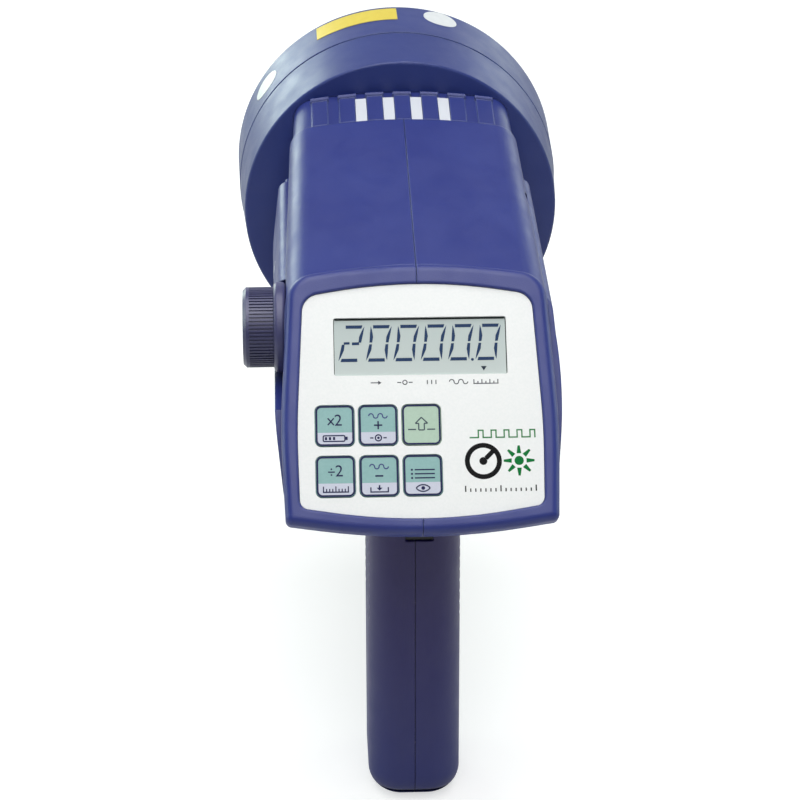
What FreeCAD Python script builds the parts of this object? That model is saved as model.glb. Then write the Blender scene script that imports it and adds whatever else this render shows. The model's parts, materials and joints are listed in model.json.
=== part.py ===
import FreeCAD, Part
import math
import os
from FreeCAD import Placement, Rotation, Vector

# A hand-held xenon stroboscope: a clamshell body with a pistol grip, a sloping control panel that
# faces the user, a round lamp head in front, a ribbed dial on the left and a trigger in the grip.
# Millimetres. The origin is the mouth of the tripod socket in the middle of the grip's base.
# X points to the user's right, Y along the beam and Z up.

along_x = Vector(1, 0, 0)
along_y = Vector(0, 1, 0)
along_z = Vector(0, 0, 1)

# Fits shared by the whole part
seam_gap = 0.15          # between the two halves of the clamshell
seat_gap = 0.15          # between a fixed piece and the pocket that holds it
slide_gap = 0.30         # round a piece that travels
running_gap = 0.05       # radial, round a shaft or pin
overrun = 2.0            # how far a cutting tool passes a face
least_radius = 0.20      # corners of an outline never get sharper than this

# Body
body_wall = 2.4
body_back_y = -60.0
body_front_y = 99.0
body_top_rise = 71.0             # of the roof at the panel's upper edge, above the grip's top
roof_start_y = 6.2
roof_slope_deg = 10.4
roof_side_step = 1.6             # how far the roof's sides stand inside the ledge
roof_front_draw = 2.3            # how much more they draw in towards the front
roof_crown = 3.0
roof_corner = 9.0
floor_back_rise = 2.2
floor_back_y = -46.0
floor_front_drop = 2.0
floor_corner = 12.0
ledge_rise = 61.5                # top of the wider lower shell, beside the dial
ledge_y = 16.0
ledge_slope_deg = 5.0
ledge_half_width = 45.0
ledge_corner = 1.4
belly_growth = 3.3               # of the bowed side's corner point, which the curve rounds off
belly_rise = 38.0
belly_radius = 90.0
belly_foot_inset = 1.6
lower_front_gap = 7.0            # from where the wide lower shell ends to the body's front
nose_step = 2.4                  # how much smaller the stretch in front of it is
nose_lap = 14.0                  # how far that stretch reaches back inside it
shell_lap = 26.0                 # how deep the upper shell dips into the lower one
crown_share = 0.75               # how much of a crowned side its long curve takes

# Grip
grip_height = 124.8
grip_width = 32.4
grip_base_depth = 42.0
grip_top_depth = 50.0
grip_lean = 24.0
grip_corner = 12.0
grip_wall = 1.8
grip_floor = 3.0
grip_base_round = 9.0
grip_entry = 10.0                # how far the grip runs on inside the body
flare_height = 14.0
flare_growth = 5.0
flare_entry = 3.0
rib_count = 12
rib_pitch = 4.0
rib_top_drop = 14.0              # of the highest rib, below the grip's top
rib_depth = 0.6
rib_radius = 1.6

# Control panel, drawn flat and then tilted: x across, s up the slope, n out towards the user
panel_y = -24.0
panel_rise = 38.8
panel_tilt_deg = 41.2
frame_half_widths = (44.1, 45.4, 42.4)      # foot, widest and top corners
frame_heights = (-39.9, -9.0, 42.6)
frame_crown = 3.2
frame_corners = (2.2, 220.0, 9.5)
frame_depth = 6.5
frame_round = 2.8
frame_inner_round = 0.7
neck_inset = 1.3
neck_depth = 2.6
sheet_half_widths = (39.3, 39.9, 37.5)
sheet_heights = (-34.9, -9.0, 35.5)
sheet_crown = 3.15
sheet_corners = (3.0, 220.0, 6.0)
sheet_sunk = 0.9
sheet_thickness = 1.0
sheet_seat = 3.0                 # width of the shoulder under the sheet
plate_thickness = 3.0
board_thickness = 1.6
board_inset = 4.4
panel_foot_s = -31.0             # lowest point of the boards behind the panel

# Display
window_width = 56.6
window_x = 0.6                   # of its middle, towards the right
window_bottom_s = 8.7
window_top_s = 28.2
window_corner = 0.8
display_margin = 3.0
display_sunk = 0.1
display_thickness = 2.2
display_contact_width = 2.2

# Keys
key_width = 12.45
key_height = 13.4
key_corner = 1.9
key_columns_x = (-27.8, -13.75, 0.3)
key_rows_s = (-8.0, -24.8)
key_proud = 0.15
key_skirt = 0.4
key_skirt_thickness = 0.8
key_edge_round = 0.25
key_stem_radius = 3.0
key_travel = 0.4
key_lost_travel = 0.05
key_bay_gap = 0.8
dome_radius = 4.5
dome_height = 0.35
key_names = (("key_double", "key_plus", "key_function"), ("key_halve", "key_minus", "key_preset"))

# Boards and what stands on them
standoff_length = 13.5
standoff_radius = 2.6
standoff_x = 26.0
standoff_low_s = -11.0
standoff_high_s = 3.0
control_half_width = 30.5
control_low_s = -15.0
control_high_s = 28.0
chip_size = 12.0
chip_height = 2.0
chip_s = 12.0
power_board_rise = 15.0
power_board_side_gap = 3.8
power_board_front_gap = 9.0
power_board_length = 40.0
shelf_height = 3.4
shelf_reach = 4.0
capacitor_width = 21.0
capacitor_length = 30.0
capacitor_height = 15.0
capacitor_x = 25.0
capacitor_round = 1.2
transformer_width = 22.0
transformer_length = 20.0
transformer_height = 19.0
core_thickness = 5.0
bobbin_gap = 0.3
trigger_coil_radius = 6.0
trigger_coil_height = 16.0
trigger_coil_from_end = 8.0

# Dial on the left side
dial_y = 12.0
dial_rise = 48.5
dial_seat_inset = 2.0            # from the ledge's side to the face of the round pocket
dial_pocket_gap = 0.9
skirt_radius = 15.1
skirt_gap = 0.15
skirt_width = 4.1
skirt_round = 1.4
skirt_bore = 8.0
skirt_bore_depth = 2.9
dial_radius = 13.45
dial_length = 10.2
dial_end_chamfer = 1.1
dial_root_depth = 0.45
dial_rib_count = 68
dial_crest_share = 0.5
dial_plain_end = 2.2
shaft_radius = 3.0
shaft_end_gap = 2.4
bush_radius = 4.5
bush_end_gap = 0.15              # between the bush and the floor of the skirt's hollow
bush_nut_flats = 11.0
bush_nut_thickness = 1.9
encoder_size = 12.6
encoder_depth = 6.6
pad_thickness = 2.4              # local wall behind the dial and the sockets

# Sockets for sync leads, in the left side
jack_first_y = 44.0
jack_pitch = 18.0
jack_rise = 38.0
jack_seat_inset = 1.0
jack_pocket_radius = 5.2
jack_bush_radius = 3.0
jack_bore_radius = 1.80
jack_bore_depth = 12.0
jack_bush_length = 4.4
jack_nut_radius = 4.4
jack_nut_thickness = 1.7
jack_body = 9.6
jack_body_depth = 12.5

# Charging socket, in the back of the grip
charge_drop = 25.4
charge_x = 1.4
charge_height = 6.6
charge_width = 9.4
charge_depth = 10.2
charge_sunk = 0.8
charge_bore_radius = 1.80
charge_bore_depth = 9.0

# Trigger in the front of the grip
trigger_pivot_inset = 9.3        # behind the grip's front
trigger_pivot_drop = 9.5         # below the grip's top, as the next drops are
trigger_half_width = 6.3
trigger_top_drop = 13.0
trigger_foot_drop = 37.5
trigger_proud_top = 1.2
trigger_proud_foot = 6.4
trigger_back = 6.4
trigger_hollow = 1.6
trigger_slot_gap = 0.3
trigger_slot_foot = 1.9
trigger_boss_radius = 4.2
trigger_pin_radius = 1.5
trigger_pin_half_length = 10.0
pin_boss_radius = 4.0
pin_boss_gap = 0.35
switch_half_thickness = 3.2
switch_depth = 8.4
switch_low_drop = 38.0
switch_height = 17.0
switch_round = 0.6
plunger_radius = 1.3
plunger_reach = 3.2
plunger_root = 2.4
plunger_drop = 30.0
plunger_gap = 0.3
trigger_pull_deg = 7.0           # full pull of the trigger
switch_rib_low_drop = 36.0
switch_rib_high_drop = 25.0

# Trigger lock, a push pin in the left side of the grip
lock_ahead = 9.6                 # of the grip's middle line
lock_drop = 18.5
lock_radius = 3.0
lock_proud = 1.4
lock_length = 8.4
lock_collar_radius = 4.2
lock_collar_width = 1.0
lock_collar_gap = 0.3
lock_round = 0.5

# Battery cells in the grip
cell_side_gap = 0.25             # between a cell and the grip's inner side
cell_gap = 0.1                   # between neighbouring cells
cell_cap_radius = 2.7
cell_cap_height = 1.0
cell_round = 0.5
cell_start = 15.5
cell_top_gap = 4.6
cell_link_thickness = 0.3
cell_link_width = 6.0
upper_cell_shift = -5.1

# Tripod socket
insert_radius = 5.2
insert_length = 12.0
insert_bore_radius = 3.175
insert_bore_depth = 10.0
insert_flange_radius = 6.4
insert_flange_low = 4.5
insert_flange_high = 7.5
insert_boss_radius = 8.4
insert_boss_height = 13.5

# Clamshell screws
screw_shank_radius = 1.4
screw_head_radius = 2.8
screw_head_height = 1.9
screw_head_round = 0.5
screw_sunk = 3.2
screw_bite = 11.0
screw_slot_width = 0.8
screw_slot_depth = 1.0
screw_slot_share = 0.65          # of the head's radius
boss_radius = 4.3
grip_screw_low_y = 12.5
grip_screw_low_z = 8.0
grip_screw_high_y = 9.0
grip_screw_high_drop = 0.5
belly_screw_back_y = -27.5
belly_screw_back_rise = 10.5
belly_screw_front_gap = 15.0     # from the body's front, as the next one is
belly_screw_front_rise = 8.0
roof_screw_gap = 37.0
roof_screw_rise = 72.0

# Collar between body and head
collar_length = 20.3
collar_inset = 1.1
collar_wall = 1.6
collar_spigot = 8.0
collar_gap = 0.3
tab_count = 7
tab_pitch = 10.0
tab_width = 5.75
tab_inset = 0.25
tab_start_gap = 0.6
tab_end_gap = 2.0
lip_rise = 1.0                   # of the lip at a tab's far end, above the tab
lip_width = 6.6
lip_thickness = 1.4
lip_bevel = 0.5
window_count = 4                 # open gaps, in the middle of the row
window_run = 15.8
collar_flange_growth = 6.5
collar_flange_thickness = 2.5
carrier_gap = 0.25
carrier_wall = 1.6
carrier_back_gap = 4.0
carrier_front = 7.0
carrier_plate = 2.4
lug_inset = 0.8

# Lamp head
head_axis_rise = 45.0
head_margin = 3.2                # from the collar's farthest corner to the head's rear edge
head_taper = 2.0                 # how much the head's shell grows towards the front
head_ring_step = 0.2
head_ring_taper = 0.9
head_shell_length = 26.6
head_wall = 2.4
head_groove = 0.6
head_edge_round = 0.8
bezel_length = 27.3
bezel_wall = 1.2
bezel_lip_width = 3.7
bezel_lip_length = 3.3
bezel_round = 1.2
spigot_wall = 1.7
lens_thickness = 2.5
lens_dome = 1.2
gasket_thickness = 0.8
gasket_width = 2.6
reflector_rim_thickness = 1.0
reflector_wall = 1.2
reflector_rim_width = 3.1
reflector_depth = 35.0
reflector_steps = 8
reflector_hole = 13.4
reflector_neck_length = 7.0

# Lamp
socket_length = 14.0
base_radius = 10.4
base_thickness = 4.6
base_lap = 1.0
pin_radius = 0.7
pin_circle = 6.2
pin_length = 8.0
pin_count = 4
envelope_radius = 9.4
envelope_wall = 1.0
envelope_straight = 19.0
tube_radius = 2.3
tube_wall = 0.8
tube_bend_radius = 4.3
tube_leg = 15.0
electrode_radius = 0.9
electrode_length = 6.0
head_screw_radius = 1.4
head_screw_head_radius = 2.6
head_screw_length = 4.2
head_screw_head_height = 1.8
head_screw_gap = 2.85            # from the collar's side to the screw's middle
head_screw_rise = 16.0

# Blank stickers on the head
sticker_thickness = 0.15
yellow_start_deg = 89.8
yellow_end_deg = 119.6
yellow_back_share = 0.48
yellow_front_share = 0.90
white_size = 13.0
white_places = ((74.0, 0.70), (145.0, 0.50))     # degrees round the ring and share of its length

# Places worked out from the sizes above
body_top_at_panel = grip_height + body_top_rise
floor_back_z = grip_height + floor_back_rise
floor_front_z = grip_height - floor_front_drop
ledge_z = grip_height + ledge_rise
belly_z = grip_height + belly_rise
panel_z = grip_height + panel_rise
power_board_z = grip_height + power_board_rise
dial_z = grip_height + dial_rise
jack_z = grip_height + jack_rise
head_axis_z = grip_height + head_axis_rise
charge_low_z = grip_height - charge_drop
trigger_pivot_z = grip_height - trigger_pivot_drop
trigger_top_z = grip_height - trigger_top_drop
trigger_foot_z = grip_height - trigger_foot_drop
plunger_z = grip_height - plunger_drop
lock_z = grip_height - lock_drop
roof_half_width = ledge_half_width - roof_side_step
roof_front_half_width = roof_half_width - roof_front_draw
belly_half_width = ledge_half_width + belly_growth
belly_foot_half_width = ledge_half_width - belly_foot_inset
lower_front_y = body_front_y - lower_front_gap
nose_start_y = lower_front_y - nose_lap
power_board_half_width = belly_foot_half_width - body_wall - power_board_side_gap
power_board_start_y = body_front_y - power_board_front_gap - power_board_length
dial_seat_x = dial_seat_inset - ledge_half_width
jack_seat_x = jack_seat_inset - ledge_half_width
cell_radius = (grip_width - 2 * (grip_wall + cell_side_gap) - cell_gap) / 4
cell_pitch = 2 * cell_radius + cell_gap
cell_ends = 2 * cell_cap_height + 3 * cell_link_thickness
cell_length = (grip_height - cell_start - cell_top_gap - cell_ends) / 2
head_back_y = body_front_y + collar_length
head_mid_y = head_back_y + head_shell_length
bezel_back_y = head_mid_y + head_groove
head_front_y = bezel_back_y + bezel_length
sheet_front_n = -sheet_sunk
sheet_back_n = sheet_front_n - sheet_thickness
plate_back_n = sheet_back_n - plate_thickness
board_back_n = plate_back_n - board_thickness
control_front_n = board_back_n - standoff_length
frame_back_n = -frame_depth
neck_back_n = frame_back_n - neck_depth
rear_wall_n = neck_back_n + body_wall / 2
lean_deg = math.degrees(math.atan2(grip_lean, grip_height))
panel_place = Placement(Vector(0, panel_y, panel_z), Rotation(along_x, 90 - panel_tilt_deg))
grip_place = Placement(Vector(0, 0, 0), Rotation(along_x, -lean_deg))
lens_back_y = head_front_y - bezel_lip_length - gasket_thickness - lens_thickness
rim_back_y = lens_back_y - reflector_rim_thickness
reflector_vertex_y = rim_back_y - reflector_depth


def corner_reach(half_width, height, corner):
    """How far a rounded corner of the collar reaches from the lamp's axis."""
    return math.hypot(half_width - corner, abs(height - head_axis_z) - corner) + corner


def collar_reach():
    """Distance from the lamp's axis to the farthest corner of the collar, where it meets the head."""
    width = roof_width(head_back_y)
    shoulder = roof_top(head_back_y) - roof_crown
    floor = floor_level(head_back_y) + nose_step
    reach = max(corner_reach(width, shoulder, roof_corner), corner_reach(width, floor, floor_corner))
    return reach - collar_inset


# Body sections at a given y

def roof_top(y):
    return body_top_at_panel + (y - roof_start_y) * math.tan(math.radians(roof_slope_deg))


def roof_width(y):
    share = (y - roof_start_y) / (body_front_y - roof_start_y)
    return roof_half_width + (roof_front_half_width - roof_half_width) * share


def floor_level(y):
    share = (y - floor_back_y) / (body_front_y - floor_back_y)
    return floor_back_z + (floor_front_z - floor_back_z) * share


def ledge_level(y):
    return ledge_z + (y - ledge_y) * math.tan(math.radians(ledge_slope_deg))


def grip_half_depth(z):
    return (grip_base_depth + (grip_top_depth - grip_base_depth) * z / grip_height) / 2


def grip_middle(z):
    return grip_lean * z / grip_height


def grip_front(z):
    return grip_middle(z) + grip_half_depth(z)


def grip_back(z):
    return grip_middle(z) - grip_half_depth(z)


head_back_radius = collar_reach() + head_margin
head_mid_radius = head_back_radius + head_taper
bezel_back_radius = head_mid_radius + head_ring_step
head_front_radius = bezel_back_radius + head_ring_taper
bezel_bore_radius = bezel_back_radius - bezel_wall
bezel_lip_radius = bezel_bore_radius - bezel_lip_width
reflector_radius = bezel_bore_radius - reflector_rim_width
head_screw_x = roof_front_half_width - collar_inset - seat_gap + head_screw_gap
trigger_pivot_y = grip_front(trigger_pivot_z) - trigger_pivot_inset
lock_y = grip_middle(lock_z) + lock_ahead


# Outlines: a closed outline is a list of (u, v, corner radius), counter-clockwise and convex

def offset_outline(outline, inset):
    """The outline with each side moved inwards by inset."""
    count = len(outline)
    lines = []
    for index in range(count):
        u0, v0, _ = outline[index]
        u1, v1, _ = outline[(index + 1) % count]
        run = math.hypot(u1 - u0, v1 - v0)
        nu = -(v1 - v0) / run
        nv = (u1 - u0) / run
        lines.append((u0 + nu * inset, v0 + nv * inset, (u1 - u0) / run, (v1 - v0) / run))
    moved = []
    for index in range(count):
        au, av, adu, adv = lines[index - 1]
        bu, bv, bdu, bdv = lines[index]
        cross = adu * bdv - adv * bdu
        step = ((bu - au) * bdv - (bv - av) * bdu) / cross
        radius = max(outline[index][2] - inset, least_radius)
        moved.append((au + adu * step, av + adv * step, radius))
    return moved


def outline_wire(outline, place):
    """A wire of lines and tangent arcs; place turns (u, v) into a point in space."""
    count = len(outline)
    starts = []
    mids = []
    ends = []
    for index in range(count):
        u, v, radius = outline[index]
        before = outline[index - 1]
        after = outline[(index + 1) % count]
        back = Vector(before[0] - u, before[1] - v, 0)
        ahead = Vector(after[0] - u, after[1] - v, 0)
        back.normalize()
        ahead.normalize()
        half = back.getAngle(ahead) / 2
        tangent = radius / math.tan(half)
        corner = Vector(u, v, 0)
        middle = back + ahead
        middle.normalize()
        starts.append(corner + back * tangent)
        ends.append(corner + ahead * tangent)
        mids.append(corner + middle * (radius / math.sin(half) - radius))
    edges = []
    for index in range(count):
        spots = [place(spot.x, spot.y) for spot in (starts[index], mids[index], ends[index])]
        edges.append(Part.Arc(*spots).toShape())
        following = starts[(index + 1) % count]
        edges.append(Part.makeLine(spots[2], place(following.x, following.y)))
    return Part.Wire(edges)


def crowned(half_width, shoulder, crown, side):
    """The corner point that gives a crowned edge, and the radius of its long curve."""
    rise = 2 * crown
    radius = crown_share * half_width * half_width / rise
    return (0, shoulder + side * rise, radius)


def panel_outline(half_widths, heights, crown, corners):
    """Outline of the panel's frame or sheet: bowed sides, crowned top and bottom."""
    foot_x, belly_x, top_x = half_widths
    foot_s, belly_s, top_s = heights
    foot_r, belly_r, top_r = corners
    foot = crowned(foot_x, foot_s, crown, -1)
    top = crowned(top_x, top_s, crown, 1)
    right = [(foot_x, foot_s, foot_r), (belly_x, belly_s, belly_r), (top_x, top_s, top_r)]
    left = [(-x, s, r) for x, s, r in reversed(right)]
    return [foot] + right + [top] + left


def box_outline(low_u, high_u, low_v, high_v, corner):
    return [(low_u, low_v, corner), (high_u, low_v, corner),
            (high_u, high_v, corner), (low_u, high_v, corner)]


def panel_slab(outline, back_n, front_n):
    """A flat piece of the panel, from back_n to front_n, still lying flat."""
    wire = outline_wire(outline, lambda u, v: Vector(u, v, back_n))
    return Part.Face(wire).extrude(Vector(0, 0, front_n - back_n))


def on_panel(shape):
    shape.Placement = panel_place
    return shape


def loft(wires):
    return Part.makeLoft(wires, True, True)


def block(low_x, high_x, low_y, high_y, low_z, high_z):
    return Part.makeBox(high_x - low_x, high_y - low_y, high_z - low_z, Vector(low_x, low_y, low_z))


def rod(radius, start, direction, length):
    return Part.makeCylinder(radius, length, start, direction)


def ring(outer, inner, start, direction, length):
    outside = rod(outer, start, direction, length)
    hole = rod(inner, start - direction * overrun, direction, length + 2 * overrun)
    return outside.cut(hole)


def edges_at(shape, test):
    return [edge for edge in shape.Edges if all(test(vertex.Point) for vertex in edge.Vertexes)]


def revolve_about_beam(points):
    """A closed profile of (radius, y) points turned about the lamp's axis."""
    spots = [Vector(radius, y, head_axis_z) for radius, y in points]
    face = Part.Face(Part.makePolygon(spots + spots[:1]))
    return face.revolve(Vector(0, 0, head_axis_z), along_y, 360)


# Outlines of the body and the grip

def upper_outline(y):
    width = roof_width(y)
    shoulder = roof_top(y) - roof_crown
    foot = ledge_level(y) - shell_lap
    return [(-width, foot, least_radius + body_wall), (width, foot, least_radius + body_wall),
            (width, shoulder, roof_corner), crowned(width, shoulder, roof_crown, 1),
            (-width, shoulder, roof_corner)]


def lower_outline(y):
    floor = floor_level(y)
    ledge = ledge_level(y)
    return [(-belly_foot_half_width, floor, floor_corner), (belly_foot_half_width, floor, floor_corner),
            (belly_half_width, belly_z, belly_radius), (ledge_half_width, ledge, ledge_corner + body_wall),
            (-ledge_half_width, ledge, ledge_corner + body_wall), (-belly_half_width, belly_z, belly_radius)]


def collar_outline(y):
    width = roof_width(y)
    shoulder = roof_top(y) - roof_crown
    floor = floor_level(y) + nose_step
    return [(-width, floor, floor_corner), (width, floor, floor_corner), (width, shoulder, roof_corner),
            crowned(width, shoulder, roof_crown, 1), (-width, shoulder, roof_corner)]


def run_of(outline_at, start_y, end_y, inset):
    """A solid between two sections of the body, with its sides moved in by inset."""
    wires = []
    for y in (start_y, end_y):
        outline = offset_outline(outline_at(y), inset)
        wires.append(outline_wire(outline, lambda u, v, y=y: Vector(u, y, v)))
    return loft(wires)


def grip_outline(z):
    half = grip_width / 2
    return box_outline(-half, half, grip_back(z), grip_front(z), grip_corner)


def grip_run(start_z, end_z, start_inset, end_inset):
    wires = []
    for z, inset in ((start_z, start_inset), (end_z, end_inset)):
        outline = offset_outline(grip_outline(z), inset)
        wires.append(outline_wire(outline, lambda u, v, z=z: Vector(u, v, z)))
    return loft(wires)


def behind_panel(limit_n):
    """Everything farther from the user than the plane at limit_n."""
    reach = 4 * frame_heights[2]
    return on_panel(block(-reach, reach, -reach, reach, limit_n - 2 * reach, limit_n))


# Clamshell

def panel_frame():
    """The rounded frame round the control panel, with its neck and the pocket for the sheet."""
    frame_line = panel_outline(frame_half_widths, frame_heights, frame_crown, frame_corners)
    sheet_line = panel_outline(sheet_half_widths, sheet_heights, sheet_crown, sheet_corners)
    frame = panel_slab(frame_line, frame_back_n, 0)
    frame = frame.makeFillet(frame_round, edges_at(frame, lambda p: abs(p.z) < least_radius))
    pocket = panel_slab(offset_outline(sheet_line, -seat_gap), sheet_back_n, overrun)
    frame = frame.cut(pocket)
    width = sheet_half_widths[1] + frame_inner_round
    height = sheet_heights[2] + 2 * sheet_crown
    rim = edges_at(frame, lambda p: abs(p.z) < least_radius and abs(p.x) < width and abs(p.y) < height)
    frame = frame.makeFillet(frame_inner_round, rim)
    neck = panel_slab(offset_outline(frame_line, neck_inset), neck_back_n, frame_back_n)
    opening = panel_slab(offset_outline(sheet_line, sheet_seat), neck_back_n - overrun, 0)
    return on_panel(frame.fuse(neck)), on_panel(opening)


def housing_outside():
    upper = run_of(upper_outline, body_back_y, body_front_y, 0)
    lower = run_of(lower_outline, body_back_y, lower_front_y, 0)
    nose = run_of(lower_outline, nose_start_y, body_front_y, nose_step)
    body = lower.fuse(nose).common(behind_panel(neck_back_n))
    body = body.fuse(upper.common(behind_panel(-frame_round)))
    grip = grip_run(0, grip_height + grip_entry, 0, 0)
    grip = grip.makeFillet(grip_base_round, edges_at(grip, lambda p: p.z < least_radius))
    flare = grip_run(grip_height - flare_height, grip_height + flare_entry, 0, -flare_growth)
    return body.fuse([grip, flare])


def housing_inside():
    back = body_back_y + body_wall
    upper = run_of(upper_outline, back, body_front_y + overrun, body_wall)
    lower = run_of(lower_outline, back, lower_front_y - body_wall, body_wall)
    nose = run_of(lower_outline, nose_start_y, body_front_y + overrun, nose_step + body_wall)
    body = upper.fuse([lower, nose]).common(behind_panel(rear_wall_n - body_wall))
    grip = grip_run(grip_floor, grip_height + grip_entry, grip_wall, grip_wall)
    return body.fuse(grip)


def screw_places():
    """y, z and the half width of the outside at each clamshell screw."""
    grip_side = grip_width / 2
    belly_side = belly_foot_half_width
    return [(grip_screw_low_y, grip_screw_low_z, grip_side),
            (grip_screw_high_y, grip_height - grip_screw_high_drop, grip_side),
            (belly_screw_back_y, grip_height + belly_screw_back_rise, belly_side),
            (body_front_y - belly_screw_front_gap, grip_height + belly_screw_front_rise, belly_side),
            (body_front_y - roof_screw_gap, grip_height + roof_screw_rise, roof_front_half_width)]


def grip_ribs():
    """Shallow finger grooves across both sides of the grip."""
    tools = []
    for index in range(rib_count):
        z = grip_height - rib_top_drop - index * rib_pitch
        for side in (-1, 1):
            x = side * (grip_width / 2 + rib_radius - rib_depth)
            start = Vector(x, grip_back(z) - overrun, z)
            tools.append(rod(rib_radius, start, along_y, grip_top_depth + 2 * overrun))
    return tools


def trigger_profile(grow):
    """Side outline of the trigger as points (y, z), with its front edge hollowed for a finger."""
    top = trigger_top_z
    foot = trigger_foot_z - grow
    middle = (top + foot) / 2
    front_top = Vector(0, grip_front(top) + trigger_proud_top, top)
    middle_proud = (trigger_proud_top + trigger_proud_foot) / 2 - trigger_hollow
    front_mid = Vector(0, grip_front(middle) + middle_proud, middle)
    front_foot = Vector(0, grip_front(foot) + trigger_proud_foot, foot)
    back_foot = Vector(0, grip_front(foot) - trigger_back, foot)
    back_top = Vector(0, trigger_pivot_y - trigger_boss_radius, trigger_pivot_z)
    crest = Vector(0, trigger_pivot_y, trigger_pivot_z + trigger_boss_radius)
    corners = [front_foot, back_foot, back_top, crest, front_top]
    edges = [Part.makeLine(start, end) for start, end in zip(corners, corners[1:])]
    return [Part.Arc(front_top, front_mid, front_foot).toShape()] + edges


def trigger_slot():
    half = trigger_half_width + trigger_slot_gap
    low = trigger_foot_z - trigger_slot_foot
    high = trigger_pivot_z + trigger_boss_radius + trigger_slot_gap - trigger_slot_foot
    start = grip_front(low) - grip_wall - overrun
    return block(-half, half, start, grip_top_depth + grip_lean + overrun, low, high)


def insert_pocket():
    shank = rod(insert_radius + seat_gap, Vector(0, 0, -overrun), along_z, insert_length + seat_gap + overrun)
    flange = rod(insert_flange_radius + seat_gap, Vector(0, 0, insert_flange_low - seat_gap), along_z,
                 insert_flange_high - insert_flange_low + 2 * seat_gap)
    return shank.fuse(flange)


def side_pocket(y, z, radius, seat_x):
    """A round pocket in the left side, from seat_x outwards."""
    return rod(radius, Vector(seat_x, y, z), -along_x, belly_half_width + overrun + seat_x)


def jack_places():
    return [(jack_first_y, jack_z), (jack_first_y + jack_pitch, jack_z)]


def dial_pocket_radius():
    return skirt_radius + dial_pocket_gap


def dial_notch(inner_x, grow):
    """Room that opens the dial's pocket towards the panel's neck, below the dial's middle."""
    low = dial_z - dial_pocket_radius() - grow
    stock = block(-belly_half_width - overrun, inner_x, body_back_y, dial_y, low, dial_z)
    return stock.common(behind_panel(neck_back_n + neck_depth / 2))


def left_pads():
    """Thicker wall behind the dial's pocket and behind the sockets."""
    places = [(dial_pocket_radius(), dial_seat_x, dial_y, dial_z)]
    places += [(jack_pocket_radius, jack_seat_x, y, z) for y, z in jack_places()]
    pads = [dial_notch(dial_seat_x + pad_thickness, pad_thickness)]
    for radius, seat_x, y, z in places:
        inner_x = seat_x + pad_thickness
        pads.append(rod(radius + pad_thickness, Vector(inner_x, y, z), -along_x, belly_half_width + inner_x))
    return pads


def left_holes():
    """Pockets and holes for the dial, the lock and the sockets."""
    inner_x = dial_seat_x + pad_thickness
    tools = [side_pocket(dial_y, dial_z, dial_pocket_radius(), dial_seat_x), dial_notch(dial_seat_x, 0),
             side_pocket(dial_y, dial_z, bush_radius + seat_gap, inner_x + overrun),
             rod(lock_radius + running_gap, Vector(-grip_width, lock_y, lock_z), along_x, grip_width)]
    for y, z in jack_places():
        tools.append(side_pocket(y, z, jack_pocket_radius, jack_seat_x))
        tools.append(side_pocket(y, z, jack_bush_radius + seat_gap, jack_seat_x + pad_thickness + overrun))
    reach = encoder_size / 2 + seat_gap
    tools.append(block(inner_x, inner_x + overrun, dial_y - reach, dial_y + reach,
                       dial_z - reach, dial_z + reach))
    return tools


def charge_cut():
    half = charge_width / 2 + seat_gap
    low = charge_low_z - seat_gap
    high = charge_low_z + charge_height + seat_gap
    end_y = grip_back(high) + charge_sunk + grip_wall + overrun
    return block(charge_x - half, charge_x + half, grip_back(0), end_y, low, high)


def inner_fittings():
    """Bosses and ribs that stand inside both halves."""
    reach = belly_half_width
    fittings = []
    for y, z, side in screw_places():
        fittings.append(rod(boss_radius, Vector(-reach, y, z), along_x, 2 * reach))
    fittings.append(rod(insert_boss_radius, Vector(0, 0, 0), along_z, insert_boss_height))
    inner = trigger_half_width + pin_boss_gap
    rib_inner = switch_half_thickness + seat_gap
    shelf_inner = power_board_half_width - shelf_reach
    shelf_end = power_board_start_y + power_board_length
    for side in (-1, 1):
        fittings.append(rod(pin_boss_radius, Vector(side * inner, trigger_pivot_y, trigger_pivot_z),
                            along_x * side, grip_width / 2 - inner))
        low_x, high_x = sorted((side * rib_inner, side * grip_width / 2))
        switch_back_y = switch_front_y() - switch_depth
        fittings.append(block(low_x, high_x, switch_back_y + seat_gap, switch_front_y() - plunger_root,
                              grip_height - switch_rib_low_drop, grip_height - switch_rib_high_drop))
        low_x, high_x = sorted((side * shelf_inner, side * reach))
        fittings.append(block(low_x, high_x, power_board_start_y, shelf_end,
                              power_board_z - seat_gap - shelf_height, power_board_z - seat_gap))
    return fittings


def switch_front_y():
    """Front face of the trigger switch, set back from the trigger by the plunger."""
    share = (plunger_z - trigger_foot_z) / (trigger_pivot_z - trigger_foot_z)
    foot_y = grip_front(trigger_foot_z) - trigger_back
    back_y = foot_y + (trigger_pivot_y - trigger_boss_radius - foot_y) * share
    return back_y - plunger_gap - plunger_reach


def screw_tools():
    tools = []
    for y, z, side in screw_places():
        seat = side - screw_sunk
        tools.append(rod(screw_head_radius + seat_gap, Vector(seat, y, z), along_x, belly_half_width))
        tools.append(rod(screw_shank_radius + running_gap, Vector(-screw_bite - seat_gap, y, z), along_x,
                         seat + screw_bite + overrun))
    return tools


def pin_hole():
    reach = trigger_pin_half_length + seat_gap
    return rod(trigger_pin_radius + running_gap, Vector(-reach, trigger_pivot_y, trigger_pivot_z), along_x,
               2 * reach)


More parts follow.
